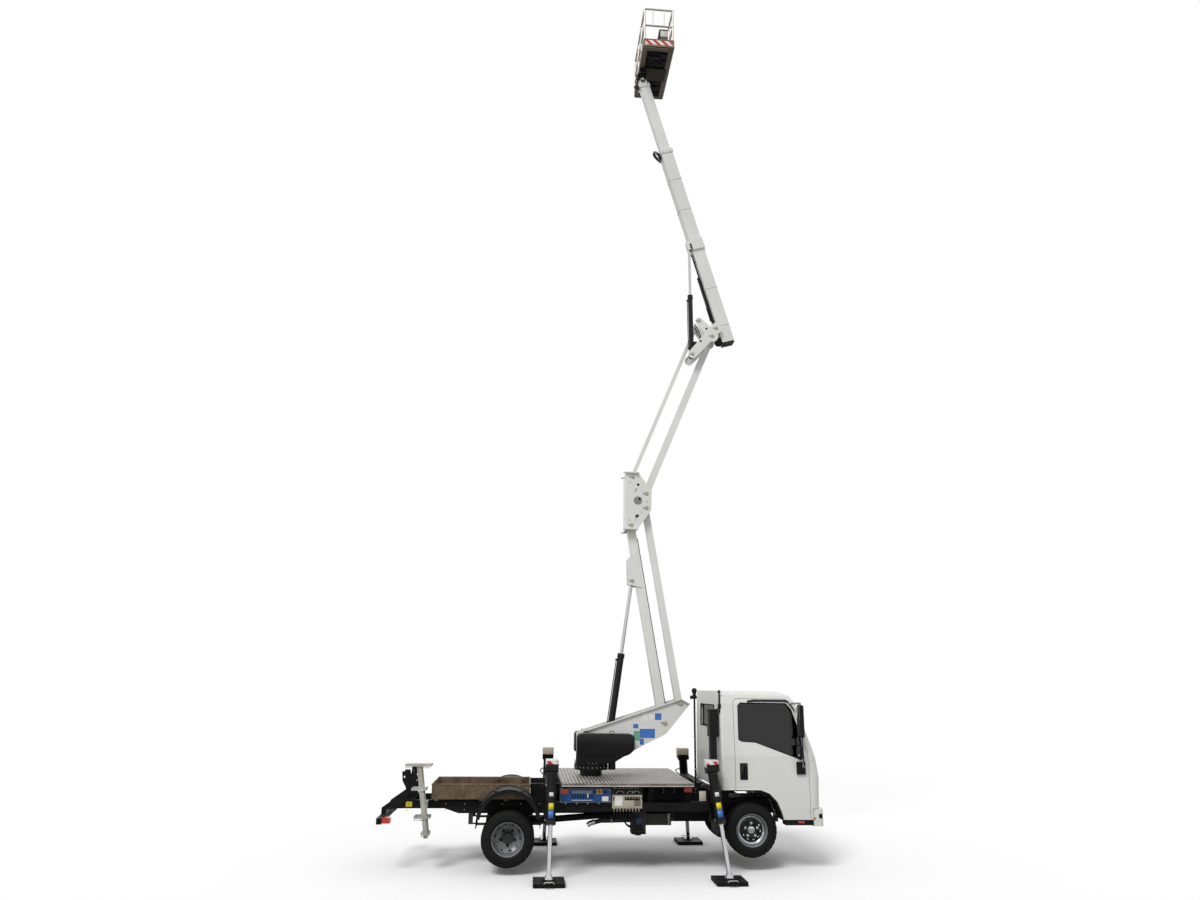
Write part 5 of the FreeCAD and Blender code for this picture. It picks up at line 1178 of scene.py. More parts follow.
def boom_box(bm, s, n, y, bevel=0.0):
    """Box in the boom's own directions."""
    mid = boom_at(sum(s) / 2, sum(n) / 2, sum(y) / 2)
    turn = Matrix((N, Vector((0, 1, 0)), D)).transposed().to_4x4()
    size = (abs(n[1] - n[0]) * MM, abs(y[1] - y[0]) * MM, abs(s[1] - s[0]) * MM)
    made = bmesh.ops.create_cube(bm, size=1.0,
                                 matrix=Matrix.Translation(spot(mid)) @ turn @ Matrix.Diagonal((*size, 1.0)))
    round_edges(bm, made["verts"], bevel)
    bmesh.ops.recalc_face_normals(bm, faces=list({f for v in made["verts"] if v.is_valid
                                                  for f in v.link_faces}))


def frame_round(bm, s, n, half, wall, bevel=2.0):
    """Four flats round a boom section."""
    boom_box(bm, s, (n[0] - wall, n[0] - 0.3), (-half - wall, half + wall), bevel)
    boom_box(bm, s, (n[1] + 0.3, n[1] + wall), (-half - wall, half + wall), bevel)
    for k in (-1, 1):
        boom_box(bm, s, (n[0] - 0.3, n[1] + 0.3), (k * (half + 0.3), k * (half + wall)), bevel)


bm = bmesh.new()
frame_round(bm, (3440, 3512), (UNDER, TOP), 85, 9)
frame_round(bm, (1482, 1662), (UNDER, TOP), 85, 8)
for s0 in (60, 760, 2300, 2900):
    frame_round(bm, (s0, s0 + 14), (UNDER, TOP), 85, 5, 1)
finish("boom_base_collars", bm, white_paint, "boom_base")
bm = bmesh.new()
frame_round(bm, (4845, 4906), MID_N, 68, 8)
finish("boom_mid_collar", bm, white_paint, "boom_mid")
bm = bmesh.new()
for s0 in (3460, 3492):
    for n0 in (90, 160, 230):
        for k in (-1, 1):
            a, b = boom_at(s0, n0, k * 94), boom_at(s0, n0, k * 99)
            add_bar(bm, a, b, 7, 6)
finish("boom_base_bolts", bm, steel, "boom_base")
bm = bmesh.new()
for s0 in (4862, 4890):
    for n0 in (105, 215):
        for k in (-1, 1):
            add_bar(bm, boom_at(s0, n0, k * 76), boom_at(s0, n0, k * 80.5), 6, 6)
finish("boom_mid_bolts", bm, steel, "boom_mid")

# dark bracket round the cylinder's eye
bm = bmesh.new()
for y in (-118, -34):
    boom_box(bm, (1515, 1625), (28, 55.6), (y - 6, y + 6), 3)
finish("luff_eye_cheeks", bm, black_paint, "boom_base")

# cable chain along the underside
bm = bmesh.new()
for i in range(30):
    s0 = 30 + i * 34
    boom_box(bm, (s0, s0 + 25), (24, 54), (18, 72), 2)
    boom_box(bm, (s0 + 25, s0 + 34), (30, 48), (22, 68))
finish("cable_chain", bm, grey_casting, "boom_base")
bm = bmesh.new()
for y in (-14, 4):
    add_bar(bm, boom_at(40, 42, y), boom_at(1470, 42, y), 8, 12)
for k in range(4):
    s0 = 180 + k * 380
    add_bar(bm, boom_at(s0, 46, -28), boom_at(s0, 46, 16), 11, 10)
finish("boom_under_hoses", bm, rubber, "boom_base", smooth=50)

# reel: two flanges, spokes and the wound cable between them
REEL, REEL_MID, REEL_HALF = (-210.0, 5.0), -55.0, 25.0
bm = bmesh.new()
for k in (-1, 1):
    face = REEL_MID + k * (REEL_HALF + 0.5)
    add_turned(bm, [(0.5, face - REEL_MID), (73, face - REEL_MID), (73, face - REEL_MID + k * 4),
                    (0.5, face - REEL_MID + k * 4)],
               boom_at(*REEL, REEL_MID), 40)
    for i in range(5):
        a = 2 * math.pi * i / 5
        add_bar(bm, boom_at(*REEL, face + k * 2),
                boom_at(REEL[0] + 62 * math.cos(a), REEL[1] + 62 * math.sin(a), face + k * 2), 4, 8)
    add_bar(bm, boom_at(*REEL, face), boom_at(*REEL, face + k * 7), 15, 24, bevel=1.5)
finish("reel_flanges", bm, black_paint, "boom_base")
bm = bmesh.new()
for i in range(5):
    add_turned(bm, [(68.3 + 3.5 * math.sin(math.pi * j / 4), -20 + i * 10 - 4.5 * math.cos(math.pi * j / 4))
                    for j in range(5)],
               boom_at(*REEL, REEL_MID), 40)
finish("reel_cable", bm, rubber, "boom_base")

bm = bmesh.new()
boom_box(bm, (-275, -241), (UNDER + 5, TOP - 5), (-80, 80), 4)
finish("boom_heel_cap", bm, black_plastic, "boom_base")

bm = bmesh.new()
add_bar(bm, boom_at(215, 27, 38), boom_at(480, 27, 38), 21, 24, bevel=2)
for s0 in (215, 470):
    boom_box(bm, (s0 - 12, s0 + 12), (27, 55), (22, 54), 2)
finish("levelling_barrel", bm, black_gloss, "boom_base")
bm = bmesh.new()
add_bar(bm, boom_at(120, 27, 38), boom_at(215, 27, 38), 10, 20)
finish("levelling_rod", bm, chrome, "boom_base")
bm = bmesh.new()
boom_box(bm, (104, 132), (12, 55), (30, 46), 3)
finish("levelling_lug", bm, white_paint, "boom_base")

# hoses that leave the mouth of each section
for i, y in enumerate((-30, 0, 30)):
    hose("mouth_hose_%d" % i, [boom_at(3380, 42, y), boom_at(3470, 36, y), boom_at(3530, 10, y),
                               boom_at(3545, -30, y),
                               boom_at(3540, -62, y * 1.2), boom_at(3420, -30, y), boom_at(3340, 30, y)], 8,
         "boom_base")
bm = bmesh.new()
boom_box(bm, (4862, 4900), (40, 74), (-30, 30), 3)
finish("mid_hose_block", bm, black_paint, "boom_mid")
for i, y in enumerate((-16, 16)):
    hose("mid_hose_%d" % i, [boom_at(4898, 56, y), boom_at(4918, 50, y), boom_at(4948, 20, y),
                             boom_at(4930, -20, y),
                             boom_at(4900, 10, y), boom_at(4885, 56, y)], 7, "boom_mid")
print("telescopic boom")

# %% [markdown]
# ## Work basket
# The kick plates are braced with folded ribs and carry hazard tape on the near side. The console has
# its lever box.

# %% Basket
floor_low, floor_high = span("basket_tub")
rail_low, rail_high = span("basket_rails")
BX = (floor_low.x, floor_high.x)
KICK = (floor_high.z - 158.0, floor_high.z)
bm = bmesh.new()
for s in (-1, 1):
    add_box(bm, (BX[0] + 6, BX[1] - 6), (s * 640.2, s * 644), (KICK[1] - 16, KICK[1] - 2), 1)
    add_box(bm, (BX[0] + 6, BX[1] - 6), (s * 640.2, s * 643), (KICK[0] + 4, KICK[0] + 16), 1)
for i in range(9):
    y = -560 + i * 140
    for x, k in ((BX[0], -1), (BX[1], 1)):
        add_box(bm, (x + k * 0.2, x + k * 3.5), (y - 9, y + 9), (KICK[0] + 10, KICK[1] - 10), 1)
finish("basket_ribs", bm, basket_aluminium, "basket")
bm = bmesh.new()
add_box(bm, (BX[0] + 30, BX[1] - 30), (-641.4, -640.2), (KICK[0] + 40, KICK[1] - 26))
add_box(bm, (BX[0] + 30, BX[1] - 30), (640.2, 641.4), (KICK[0] + 40, KICK[1] - 26))
finish("basket_tape", bm, tape, "basket")
# underside: a folded border round a well that holds the turning gear; the well's black sheet is painted shade
# of the recess
bm = bmesh.new()
low_z = KICK[0] - 0.3
for x in ((BX[0] + 10, BX[0] + 78), (BX[1] - 96, BX[1] - 10)):
    add_box(bm, x, (-630, 630), (low_z - 22, low_z), 6)
for s in (-1, 1):
    add_box(bm, (BX[0] + 60, BX[1] - 80), (s * 560, s * 630), (low_z - 22, low_z), 6)
finish("basket_floor_border", bm, basket_aluminium, "basket")
bm = bmesh.new()
# black sheet across the well: painted shade of the recess; its ribs and gear are drawn in the same black
add_box(bm, (BX[0] + 79, BX[1] - 97), (-558, 558), (low_z - 4, low_z))
for i in range(7):
    y = -480 + i * 160
    if abs(y) > 165:
        add_box(bm, (BX[0] + 80, BX[1] - 98), (y - 12, y + 12), (low_z - 20, low_z - 3), 2)
for x, y, r in ((2010, 300, 42), (2190, 330, 34), (2060, -320, 50), (2230, -250, 30), (2200, 220, 24)):
    add_bar(bm, (x, y, low_z - 3), (x, y, low_z - 30), r, 20, bevel=3)
for y in (-400, 380):
    add_box(bm, (2000, 2200), (y - 40, y + 40), (low_z - 34, low_z - 3), 5)
finish("basket_floor_well_painted_shade", bm, black_plastic, "basket")
for i, y in enumerate((-210, 190, 250)):
    hose("basket_hose_%d" % i, [(2000 + 40 * i, y, low_z - 30), (2060 + 40 * i, y * 1.3, low_z - 40),
                                (2160 + 20 * i, y * 1.5, low_z - 34),
                                (2230, y * 1.7, low_z - 26)], 8, "basket")
tread("basket_tread", [((BX[0] + 70, BX[1] - 70), (-570, 570), KICK[0] + 26)], bright_aluminium, 32.0,
      (24.0, 7.0, 1.5), "basket")

# console with levers, a stop button and its dark box
cx = rail_high.x - 23
bm = bmesh.new()
add_box(bm, (cx - 166, cx + 24), (-217, 217), (rail_high.z - 52, rail_high.z - 42), 3)
add_box(bm, (cx - 171, cx - 163), (-200, 200), (rail_high.z - 180, rail_high.z - 60), 2)
finish("console_cover", bm, black_plastic, "basket")
bm, knobs = bmesh.new(), bmesh.new()
for i in range(6):
    y = -150 + i * 50
    add_bar(bm, (cx - 80, y, rail_high.z - 44), (cx - 88, y, rail_high.z - 18), 4, 10)
    add_ball(knobs, (cx - 89, y, rail_high.z - 15), 9, 12)
finish("console_levers", bm, zinc, "basket")
add_bar(knobs, (cx - 60, 180, rail_high.z - 42), (cx - 60, 180, rail_high.z - 24), 17, 24, bevel=2)
finish("console_knobs", knobs, red_label, "basket")
# rail sleeves, gussets and upright bars
bm = bmesh.new()
x0, x1 = rail_low.x + 17, rail_high.x - 17
for x in (x0, x1):
    for y in (-617, -205.7, 205.7, 617):
        add_turned(bm, [(17.3, -9), (20, -9), (20, 9), (17.3, 9)], (x, y, rail_high.z - 362), 20)
        add_box(bm, (x - 26, x + 26), (y - 26, y + 26), (KICK[0] + 22.3, KICK[0] + 27), 1)
for s in (-1, 1):
    for x in (x0 + 150, x1 - 150):
        add_bar(bm, (x, s * 617, rail_high.z - 362), (x, s * 617, rail_high.z - 17), 9, 12)
finish("rail_fittings", bm, ladder_aluminium, "basket")
bm = bmesh.new()
add_box(bm, (x0 - 30, x0 - 18), (-120, 120), (KICK[1] - 90, KICK[1] - 30), 2)
finish("basket_plate", bm, white_label, "basket")

# rotating head under the floor: motor, ring and hoses
low, high = span("basket_bracket")
LEVEL_X = LEVEL_PIN[0]
bm = bmesh.new()
add_turned(bm, [(62.5, 0), (96, 0), (96, 16), (62.5, 16)], (LEVEL_X, 0, high.z - 36), 40, axis=(0, 0, 1))
add_bar(bm, (LEVEL_X + 20, 92, high.z - 120), (LEVEL_X + 20, 150, high.z - 120), 34, 24, bevel=3)
add_box(bm, (LEVEL_X - 30, LEVEL_X + 70), (74, 96), (high.z - 170, high.z - 70), 4)
finish("rotator", bm, grey_casting, "basket_bracket")
pin_caps("level", [LEVEL_PIN], 78, "basket_bracket", 27, 8)
bm = bmesh.new()
for y in (-118, 118):
    add_box(bm, (LEVEL_X - 60, BX[1] - 66), (y - 8, y + 8), (high.z - 14 + 30, KICK[0] - 0.3), 2)
for x in (LEVEL_X + 80, LEVEL_X + 200, LEVEL_X + 320):
    add_box(bm, (x - 8, x + 8), (-152.5, 152.5), (KICK[0] - 30, KICK[0] - 0.3), 2)
finish("basket_carrier", bm, black_paint, "basket")
for i, y in enumerate((-46, 46)):
    hose("level_hose_%d" % i, [(LEVEL_X - 40, y, high.z - 20), (LEVEL_X - 100, y, high.z - 60),
                               (LEVEL_X - 130, y, high.z - 140),
                               (LEVEL_X - 110, y, high.z - 180), (LEVEL_X - 84, y, high.z - 140),
                               (LEVEL_X - 60, y, high.z - 60)], 7,
         "basket_bracket")
print("basket")

# %% [markdown]
# ## Cab
# The cab's skin leans in towards the roof, so a fitting is placed from one small table: the place
# of its nose, half its width and its corner's radius at a height.
# Rubber seals the glass, a lip runs round the
# wheel arch, and the front has a grille, wipers and ribbed lamps. What is on a door rides on it.

# %% Cab places
SKIN = [(684, 4322, 862, 130), (1250, 4340, 876, 135), (1520, 4300, 876, 140), (2235, 4068, 818, 140),
        (2345, 3985, 790, 140),
        (2402, 3850, 715, 140)]
DOOR = {s: "door_" + side for side, s in SIDES}
WINDOW = [(3183, 1745), (3190, 2205), (3225, 2240), (3885, 2238), (3960, 2150), (4065, 1830), (4095, 1500),
          (4060, 1480),
          (3420, 1710), (3225, 1722)]
ARCH = [(2936, 1070), (3474, 1070), (3600, 1020), (3700, 920), (3760, 790), (3790, 690)]
CAB_BACK = 2930


def skin(z, column):
    """Nose (1), half width (2) or front corner radius (3) of the cab at a height."""
    for a, b in zip(SKIN, SKIN[1:]):
        if z <= b[0]:
            return a[column] + (b[column] - a[column]) * (z - a[0]) / (b[0] - a[0])
    return SKIN[-1][column]


def on_side(x, z, s, out=0.0):
    """A place on the cab's side, which turns in at the rounded front corner."""
    corner = skin(z, 3)
    past = max(0.0, x - (skin(z, 1) - corner))
    return (x, s * (skin(z, 2) - corner + math.sqrt(max(0.0, corner ** 2 - past ** 2)) + out), z)


def on_nose(y, z, out=0.0):
    return (skin(z, 1) + out, y, z)


def shaded(name, material, chosen):
    """Gives part of a CAD node a second finish, face by face, by where the face is."""
    mesh = nodes[name].data
    mesh.materials.append(material)
    where = nodes[name].matrix_world
    for face in mesh.polygons:
        p = (where @ face.center - Vector((AXLE_X, 0, 0))) * 1000
        if chosen(p):
            face.material_index = len(mesh.materials) - 1


# faces below the basket's floor take the darker sheet as painted shade
shaded("basket_tub", painted_shade_sheet, lambda p: p.z < 13364)
clear_lens = lens("clear_ribbed_lamp_lens", "#d3d9dc", "#aab2b7", 14)
shaded("lamps", clear_lens, lambda p: p.x > 3500)
shaded("control_boxes", black_paint, lambda p: p.y > 0)
shaded("powertrain", grey_casting, lambda p: p.y < -
       476 and p.x > 1780 and p.z > 580 or (p.y < -520 and p.x < 1700))
for side, s in SIDES:
    shaded("mirror_" + side, wheel_silver,
           lambda p: 1681 < p.z < 1779 or p.z > 2226 or (p.z < 1519 and abs(p.y) > 906))
print("second finishes")

# %% Door and window fittings
for side, s in SIDES:
    bm = bmesh.new()
    strip(bm, [on_side(x, z, s, 0.5) for x, z in WINDOW + WINDOW[:2]], 7)
    finish("door_seal_" + side, bm, rubber, DOOR[s])
    bm = bmesh.new()
    top = [(3330, 2262), (3420, 2276), (3890, 2276), (3955, 2236), (4010, 2140)]
    for a, b in zip(top, top[1:]):
        for k in range(3):
            add_bar(bm, on_side(a[0], a[1] - 7 + 7 * k, s, 4 + 4 * (2 - k)),
                    on_side(b[0], b[1] - 7 + 7 * k, s, 4 + 4 * (2 - k)), 7, 8)
    finish("rain_visor_" + side, bm, black_gloss, DOOR[s])
    bm = bmesh.new()
    y0, y1 = s * 875.2, s * 881.5
    recess = [(3191, 1208), (3286, 1208), (3294, 1216), (3294, 1422), (3286, 1430), (3191, 1430),
              (3183, 1422), (3183, 1216)]
    add_plate(bm, recess, y0, y1, 2)
    finish("door_handle_plate_" + side, bm, black_gloss, DOOR[s])
    bm = bmesh.new()
    strip(bm, [(3255, s * 880, 1236), (3255, s * 897, 1256), (3255, s * 900, 1320), (3255, s * 897, 1384),
               (3255, s * 880, 1404)], 9)
    add_bar(bm, (3210, s * 880, 1290), (3210, s * 884, 1290), 13, 20, bevel=1)
    finish("door_handle_" + side, bm, black_plastic, DOOR[s])
    # lip of the arch: its rear end is on the shell, the rest on the door
    for name, body, points in (("cab", "root", [(2938, 1078), (3112, 1078)]),
                               ("door", DOOR[s], [(3130, 1078)] + [
            (x + 8 * (i > 1), z + 8 * (i < 4)) for i, (x, z) in enumerate(ARCH)][1:])):
        bm = bmesh.new()
        strip(bm, [on_side(x, z, s, -1) for x, z in points], 8)
        strip(bm, [on_side(x, z + 42, s, -4) if i < 2 else on_side(x + 44, z + 30 * (i < 4), s, -4)
                   for i, (x, z) in enumerate(points)] if name == "door"
              else [on_side(x, z + 42, s, -4) for x, z in points], 7)
        finish("%s_arch_flare_%s" % (name, side), bm, white_paint, body)
    bm = bmesh.new()
    liner = [(x - 6, z - 6) for x, z in ARCH]
    for (x0, z0), (x1, z1) in zip(liner, liner[1:]):
        add_plate(bm, [(x0, z0), (x1, z1), (x1 - 8, z1 - 8), (x0 - 2, z0 - 8)], s * 560, s * 848)
    for x, z in liner[1:-1]:
        add_bar(bm, (x - 2, s * 560, z - 4), (x - 2, s * 848, z - 4), 5, 10)
    finish("arch_liner_" + side, bm, black_plastic, "root")
    bm = bmesh.new()
    add_box(bm, (3990, 4080), (s * 855.2, s * 857.5), (640, 664), 0.5)
    finish("sill_reflector_" + side, bm, red_lens, "root")
    bm = bmesh.new()
    for x in (3860, 3960, 4060, 4160):
        add_box(bm, (x - 30, x + 30), (s * 800, s * 846), (684.2, 687), 1)
    finish("sill_treads_" + side, bm, rubber, "root")
    # mirror glass faces back, in each head's frame
    bm = bmesh.new()
    for x, half, z0, z1 in ((4010, 60, 1800, 2205), (3985, 56, 1536, 1664)):
        add_box(bm, (x - 1.6, x - 0.2), (s * 985 - half, s * 985 + half), (z0, z1), 0.5)
    finish("mirror_glass_" + side, bm, mirror_face, DOOR[s])
    bm = bmesh.new()
    for z in (1855, 2150):
        add_bar(bm, (4049, s * 985, z - 22), (4050, s * 985, z + 22), 17, 20, bevel=3)
    for z in (1310, 1425):
        add_bar(bm, (4050, s * 904, z), (4050, s * 909, z), 8, 12)
    finish("mirror_clamps_" + side, bm, black_plastic, DOOR[s])

# roof gutter and rivets
bm = bmesh.new()
for side, s in SIDES:
    strip(bm, [on_side(x, 2352, s, 0.5) for x in (2975, 3400, 3860)], 5)
finish("roof_gutter", bm, white_paint, "root")
bm = bmesh.new()
for s in (-1, 1):
    for x in (3060, 3180, 3300, 3640, 3700):
        add_ball(bm, on_side(x, 2378, s, 0.0), 6, 10)
finish("roof_rivets", bm, zinc, "root")
print("doors and arches")

# %% Windscreen, back window, front
bm = bmesh.new()
SCREEN = [(-700, 1560), (700, 1560), (640, 2190), (-640, 2190), (-700, 1560), (700, 1560)]
strip(bm, [on_nose(y, z, 1.0) for y, z in SCREEN], 10)
finish("windscreen_seal", bm, rubber, "root")
bm = bmesh.new()
back = [(-470, 1890), (470, 1890), (450, 2200), (-450, 2200), (-470, 1890), (470, 1890)]
strip(bm, [(CAB_BACK - 1, y, z) for y, z in back], 9)
finish("back_window_seal", bm, rubber, "root")

bm = bmesh.new()
for y0 in (-420, 130):
    pivot, elbow = on_nose(y0, 1532, 12), on_nose(y0 + 210, 1640, 12)
    add_bar(bm, on_nose(y0, 1532, -4), on_nose(y0, 1532, 20), 14, 16, bevel=2)
    add_bar(bm, pivot, elbow, 7, 8, 5)
    add_bar(bm, on_nose(y0 - 40, 1605, 9), on_nose(y0 + 460, 1668, 9), 5, 8)
finish("wipers", bm, black_plastic, "root")

bm = bmesh.new()
for i in range(5):
    z = 872 + i * 34
    add_box(bm, (skin(z, 1) - 2, skin(z, 1) + 9), (-520, 520), (z - 9, z + 9), 4)
add_box(bm, (skin(940, 1) - 2, skin(940, 1) + 2.5), (-530, 530), (856, 1026), 1)
finish("grille", bm, black_plastic, "root")
bm = bmesh.new()
for z in (854, 1030):
    add_box(bm, (skin(z, 1) - 1, skin(z, 1) + 6), (-534, 534), (z - 4, z + 4), 2)
for s in (-1, 1):
    for y in (600, 690):
        p = on_nose(s * y, 945, 0)
        add_turned(bm, [(31, -2), (40, -2), (40, 4), (34, 6), (31, 2)], p, 32, axis=(1, 0, 0))
finish("grille_trim", bm, chrome, "root")
bm = bmesh.new()
add_box(bm, (skin(1120, 1) - 1, skin(1120, 1) + 4), (-620, 620), (1096, 1104), 1.5)
for y in (-640, 640):
    add_bar(bm, on_nose(y, 1455, -3), on_nose(y, 1455, 4), 10, 16)
finish("front_seam", bm, rubber, "root")
bm = bmesh.new()
add_box(bm, (4335, 4340), (-165, 165), (838, 846), 0)
add_box(bm, (4351, 4354), (-165, 165), (838, 946), 1)
finish("number_plate_blank", bm, white_label, "root")
bm = bmesh.new()
for s in (-1, 1):
    add_box(bm, (4300, 4352), (s * 560, s * 740), (822.2, 826), 1)
    add_box(bm, (4290, 4340), (s * 846, s * 850.8), (700, 760), 2)
finish("bumper_pads", bm, black_plastic, "root")
bm = bmesh.new()
for s in (-1, 1):
    add_bar(bm, (4230, s * 850.2, 700), (4230, s * 854, 700), 16, 24, bevel=1)
finish("bumper_repeaters", bm, orange_lens, "root")
print("front of the cab")

# %% [markdown]
# ## Cab interior
# Each seat is a boxed base with a stuffed cushion and back in woven cloth and a knitted headrest. A cushion
# starts as a box, is cut finely and then crowned: each point moves out by how far it is from the
# seams. Sewn channels are pulled in along the middle panel. The wheel, dash and shelf are moulded.

# %% Seats
seat_cloth = plain_finish("woven_seat_cloth", "#3c4046", "#2f3338", 3, 60, (0.85, 0.95), 0.5)
seat_bolster = plain_finish("knitted_bolster_cloth", "#23262a", "#2b2e33", 3, 80, (0.85, 0.95), 0.4)


def cushion(name, low, high, lean, crown, channels, material, axis=2):
    """Crowned cushion between two corners; lean moves it in x as z grows, axis is its soft face."""
    bm = bmesh.new()
    add_box(bm, (low[0], high[0]), (low[1], high[1]), (low[2], high[2]))
    bmesh.ops.subdivide_edges(bm, edges=bm.edges[:], cuts=15, use_grid_fill=True)
    a, b = spot(low), spot(high)
    mid, half = (a + b) / 2, (b - a) / 2
    flat = [i for i in range(3) if i != axis]
    for v in bm.verts:
        t = [(v.co[i] - mid[i]) / half[i] for i in range(3)]
        bulge = (1 - t[flat[0]] ** 4) * (1 - t[flat[1]] ** 4)
        dent = sum(math.exp(-((t[1] - c) / 0.07) ** 2) for c in channels) * 9 * MM
        v.co[axis] += math.copysign(1, t[axis]) * abs(t[axis]) * (crown * MM * bulge - dent * bulge)
        for i in flat:
            other = flat[0] if i == flat[1] else flat[1]
            v.co[i] -= math.copysign(1, t[i]) * t[other] ** 2 * 10 * MM * abs(t[i]) ** 3
            v.co[i] += math.copysign(1, t[i]) * (1 - t[axis] ** 2) * 8 * MM * abs(t[i]) ** 3
        v.co.x += (v.co.z - a.z) * lean
    bmesh.ops.smooth_vert(bm, verts=bm.verts, factor=0.5, use_axis_x=True, use_axis_y=True, use_axis_z=True)
    made = finish(name, bm, material, "root", smooth=60)
    crowned = made.modifiers.new("stuffing", "SUBSURF")
    crowned.levels = crowned.render_levels = 1
    return made


for side, y in (("right", -430), ("left", 430)):
    lean = -70 / 590
    cushion("seat_cushion_" + side, (3185, y - 205, 1175), (3620, y + 205, 1270), 0, 14, (-0.42, 0.42),
            seat_cloth)
    cushion("seat_back_" + side, (3075, y - 200, 1285), (3165, y + 200, 1862), lean, 12, (-0.42, 0.42),
            seat_cloth, 0)
    cushion("headrest_" + side, (3024, y - 108, 1898), (3088, y + 108, 2030), 0, 8, (), seat_bolster, 0)
    bm = bmesh.new()
    add_box(bm, (3180, 3630), (y - 222, y + 222), (1131, 1174), 12)
    add_box(bm, (3058, 3078), (y - 190, y + 190), (1180, 1330), 6)
    for k in (-1, 1):
        add_box(bm, (3100, 3240), (y + k * 222 - 9, y + k * 222 + 9), (1150, 1345), 8)
    finish("seat_base_" + side, bm, black_plastic, "root", ["cab_interior"])
    bm = bmesh.new()
    for k in (-1, 1):
        add_bar(bm, (3048, y + k * 42, 1850), (3052, y + k * 42, 1912), 6, 12)
    add_bar(bm, (3165, y + 236, 1195), (3230, y + 236, 1225), 7, 12)
    finish("seat_fittings_" + side, bm, steel, "root")
print("seats")

# %% Dash, steering column and wheel
bm = bmesh.new()
DASH = [(3990, 1180), (4225, 1180), (4225, 1470), (4040, 1500), (3962, 1405)]
add_plate(bm, DASH, -750, 750, 14, 3)
add_box(bm, (4060, 4200), (-120, 120), (976, 1186), 10)
add_box(bm, (3950, 4090), (270, 590), (1480, 1545), 22, 4)
finish("dashboard", bm, black_plastic, "root")
bm = bmesh.new()
for y0, y1, z0, z1 in ((-120, 120, 1370, 1398), (-120, 120, 1230, 1340), (-700, -560, 1370, 1400),
                       (640, 730, 1370, 1400)):
    middle = (z0 + z1) / 2
    x = 3990 - (min(middle, 1405) - 1180) * 28 / 225
    add_box(bm, (x - 3, x + 12), (y0, y1), (z0, z1), 3)
finish("dash_vents", bm, black_gloss, "root")
bm = bmesh.new()
WHEEL_MID, WHEEL_AXIS = (3880, 430, 1505), Vector((-130, 0, 160)).normalized()
ring = [(205 + 15 * math.cos(a), 15 * math.sin(a)) for a in [2 * math.pi * i / 12 for i in range(12)]]
add_turned(bm, ring, WHEEL_MID, 48, axis=WHEEL_AXIS)
add_turned(bm, [(0.5, 12), (48, 8), (58, -6), (52, -26), (0.5, -30)], WHEEL_MID, 32, axis=WHEEL_AXIS)
cross = Vector((0, 1, 0))
up = WHEEL_AXIS.cross(cross)
for turn in (0, 125, 235):
    a = math.radians(turn)
    d = up * (-math.cos(a)) + cross * math.sin(a)
    tip = Vector(WHEEL_MID) + d * 200
    add_bar(bm, tuple(Vector(WHEEL_MID) + d * 40), tuple(tip), 13, 12, 9)
add_bar(bm, (4020, 430, 1330), (3888, 430, 1495), 30, 24, 26)
for k in (-1, 1):
    add_bar(bm, (3925, 430 + k * 30, 1450), (3935, 430 + k * 175, 1470), 6, 10, 8)
finish("steering_wheel", bm, black_plastic, "root", smooth=50)
bm = bmesh.new()
add_bar(bm, (4030, 60, 1290), (3950, 40, 1400), 6, 12)
add_ball(bm, (3950, 40, 1404), 20, 16)
finish("gear_lever", bm, black_gloss, "root")
print("interior")

# %% [markdown]
# ## Behind the cab
# The air intake is a moulded stack with slots, and slim lamp posts stand beside it. The small lamps
# on their heads look back over the deck.

# %% Intake slots and lamp posts
bm = bmesh.new()
for i in range(11):
    z = 1830 + i * 26
    add_box(bm, (2812, 2890), (-783.5, -780.2), (z, z + 12), 1)
for i in range(11):
    z = 1830 + i * 26
    add_box(bm, (2786.5, 2789.8), (-762, -618), (z, z + 12), 1)
for z in (1200, 1500, 1760):
    add_box(bm, (2796, 2894), (-764, -646), (z, z + 18), 2)
finish("intake_slots", bm, black_gloss, "root")
bm = bmesh.new()
add_bar(bm, (2662, -350, 2374), (2662, -350, 2330), 27, 20, bevel=3)
add_box(bm, (2632, 2692), (-392, -308), (2284, 2330), 8)
add_bar(bm, (2640, -350, 2306), (2600, -350, 2306), 26, 20, bevel=4)
add_bar(bm, (2908, -700, 2140), (2925, -812, 2180), 9, 12)
add_bar(bm, (2925, -812, 2100), (2925, -812, 2385), 12, 16)
add_ball(bm, (2925, -812, 2392), 24, 20)
add_box(bm, (2905, 2945), (-836, -788), (2175, 2225), 8)
finish("lamp_heads", bm, black_plastic, "root")
bm = bmesh.new()
for z in (1300, 1700, 2050):
    add_turned(bm, [(14.2, -12), (18, -12), (18, 12), (14.2, 12)], (2662, -350, z), 20, axis=(0, 0, 1))
finish("lamp_post_sleeves", bm, zinc, "root")
hose("lamp_cable", [(2662, -366, 2290), (2662, -368, 2000), (2664, -366, 1600), (2668, -366, 1250),
                    (2690, -372, 1120)], 4)
print("behind the cab")

# %% [markdown]
# ## Floor, light and camera
# A pale floor under an even, pale sky, and one wide sun from behind the viewer's left for soft
# shadows. The camera stands on the ground some way off and looks up, as one does at a tall machine.

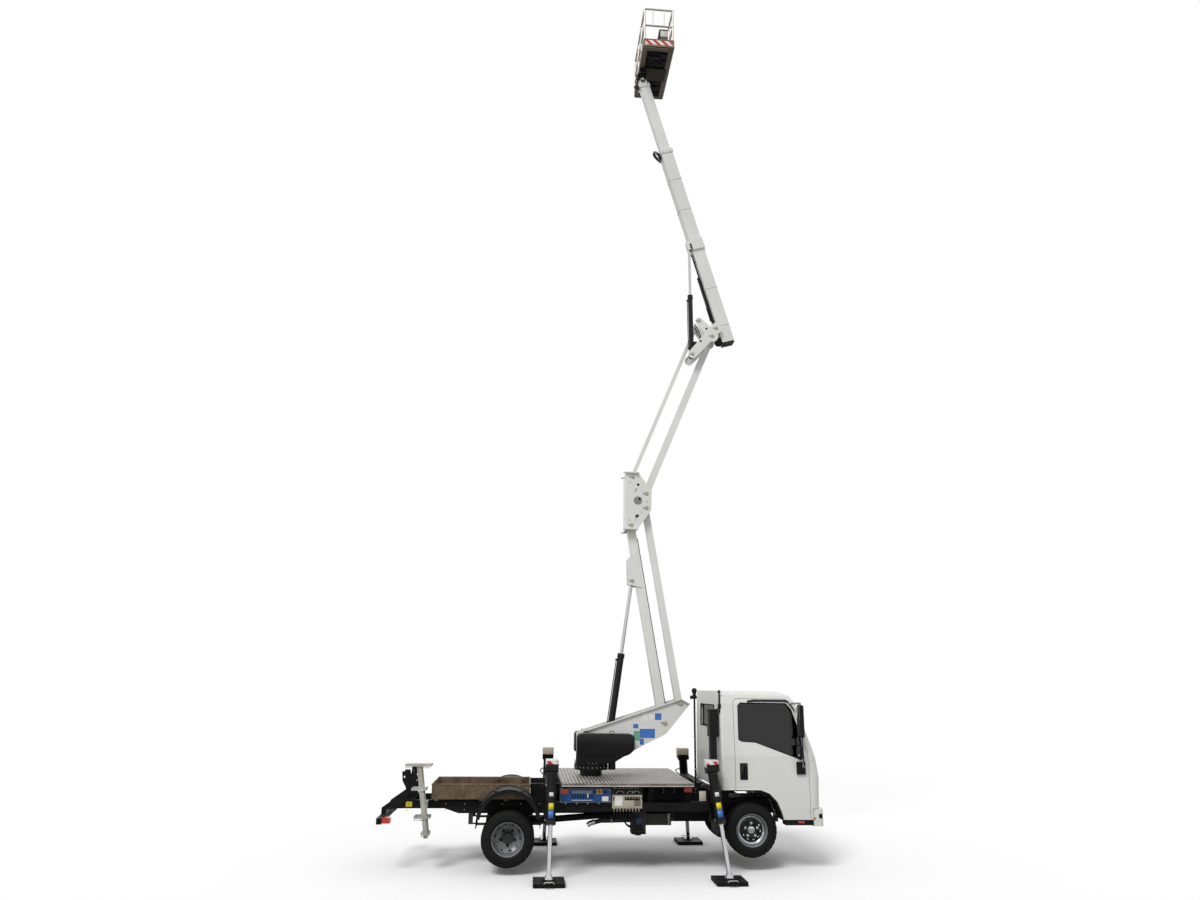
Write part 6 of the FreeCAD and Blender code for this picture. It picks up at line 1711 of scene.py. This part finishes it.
# %% Stage, light and camera
bm = bmesh.new()
bmesh.ops.create_grid(bm, x_segments=1, y_segments=1, size=120.0, matrix=Matrix.Translation((0, 0, -0.002)))
floor_mesh = bpy.data.meshes.new("floor")
bm.to_mesh(floor_mesh)
bm.free()
floor_paint, tree, bsdf = start("pale_floor", "#fdfdfd", Roughness=0.9, Specular_IOR_Level=0.0)[:3]
path = node(tree, "ShaderNodeLightPath")
tone = node(tree, "ShaderNodeValToRGB", [("Fac", path.outputs["Is Camera Ray"])],
            ((0.0, "#a8a8a6"), (1.0, "#fefefe")))
tree.links.new(tone.outputs["Color"], bsdf.inputs["Base Color"])
floor_mesh.materials.append(floor_paint)
floor = bpy.data.objects.new("floor", floor_mesh)
scene.collection.objects.link(floor)

world = bpy.data.worlds.new("studio")
world.use_nodes = True
scene.world = world
tree = world.node_tree
tree.nodes.clear()
path = node(tree, "ShaderNodeLightPath")
lit = node(tree, "ShaderNodeBackground", Strength=0.62)
seen = node(tree, "ShaderNodeBackground", Strength=1.0)
for background in (lit, seen):
    background.inputs["Color"].default_value = (1.0, 1.0, 1.0, 1.0)
clear = node(tree, "ShaderNodeMath", [(0, path.outputs["Is Camera Ray"]),
                                      (1, path.outputs["Is Transmission Ray"])], operation="MAXIMUM")
shown = node(tree, "ShaderNodeMath", [(0, clear.outputs[0]), (1, path.outputs["Is Glossy Ray"])],
             operation="MAXIMUM")
mixed = node(tree, "ShaderNodeMixShader", [(0, shown.outputs[0]), (1, lit.outputs[0]), (2, seen.outputs[0])])
node(tree, "ShaderNodeOutputWorld", [("Surface", mixed.outputs[0])])

sun = bpy.data.lights.new("sun", "SUN")
sun.energy, sun.angle = 1.7, math.radians(20)
sun_object = bpy.data.objects.new("sun", sun)
sun_object.rotation_euler = (math.radians(42), math.radians(-12), math.radians(-18))
scene.collection.objects.link(sun_object)

YAW, PITCH, ROLL = 0.0857, 0.2341, 0.0117
forward = Vector((math.sin(YAW), math.cos(YAW), 0))
right = Vector((math.cos(YAW), -math.sin(YAW), 0))
look = forward * math.cos(PITCH) + Vector((0, 0, math.sin(PITCH)))
rise = Vector((0, 0, math.cos(PITCH))) - forward * math.sin(PITCH)
side_axis = right * math.cos(ROLL) + rise * math.sin(ROLL)
up_axis = rise * math.cos(ROLL) - right * math.sin(ROLL)
turn = Matrix((side_axis, up_axis, -look)).transposed()
camera = bpy.data.cameras.new("camera")
camera.lens, camera.sensor_width, camera.shift_x, camera.shift_y = 24.3, 36.0, 0.0, 0.0353
camera.clip_end = 400
camera_object = bpy.data.objects.new("camera", camera)
camera_object.matrix_world = Matrix.Translation((-1.1197, -12.5145, 2.459)) @ turn.to_4x4()
scene.collection.objects.link(camera_object)
scene.camera = camera_object

scene.render.resolution_x, scene.render.resolution_y = 1200, 900
scene.view_settings.view_transform = "Standard"
scene.view_settings.look = "None"
print("camera at", [round(v, 2) for v in camera_object.matrix_world.translation])
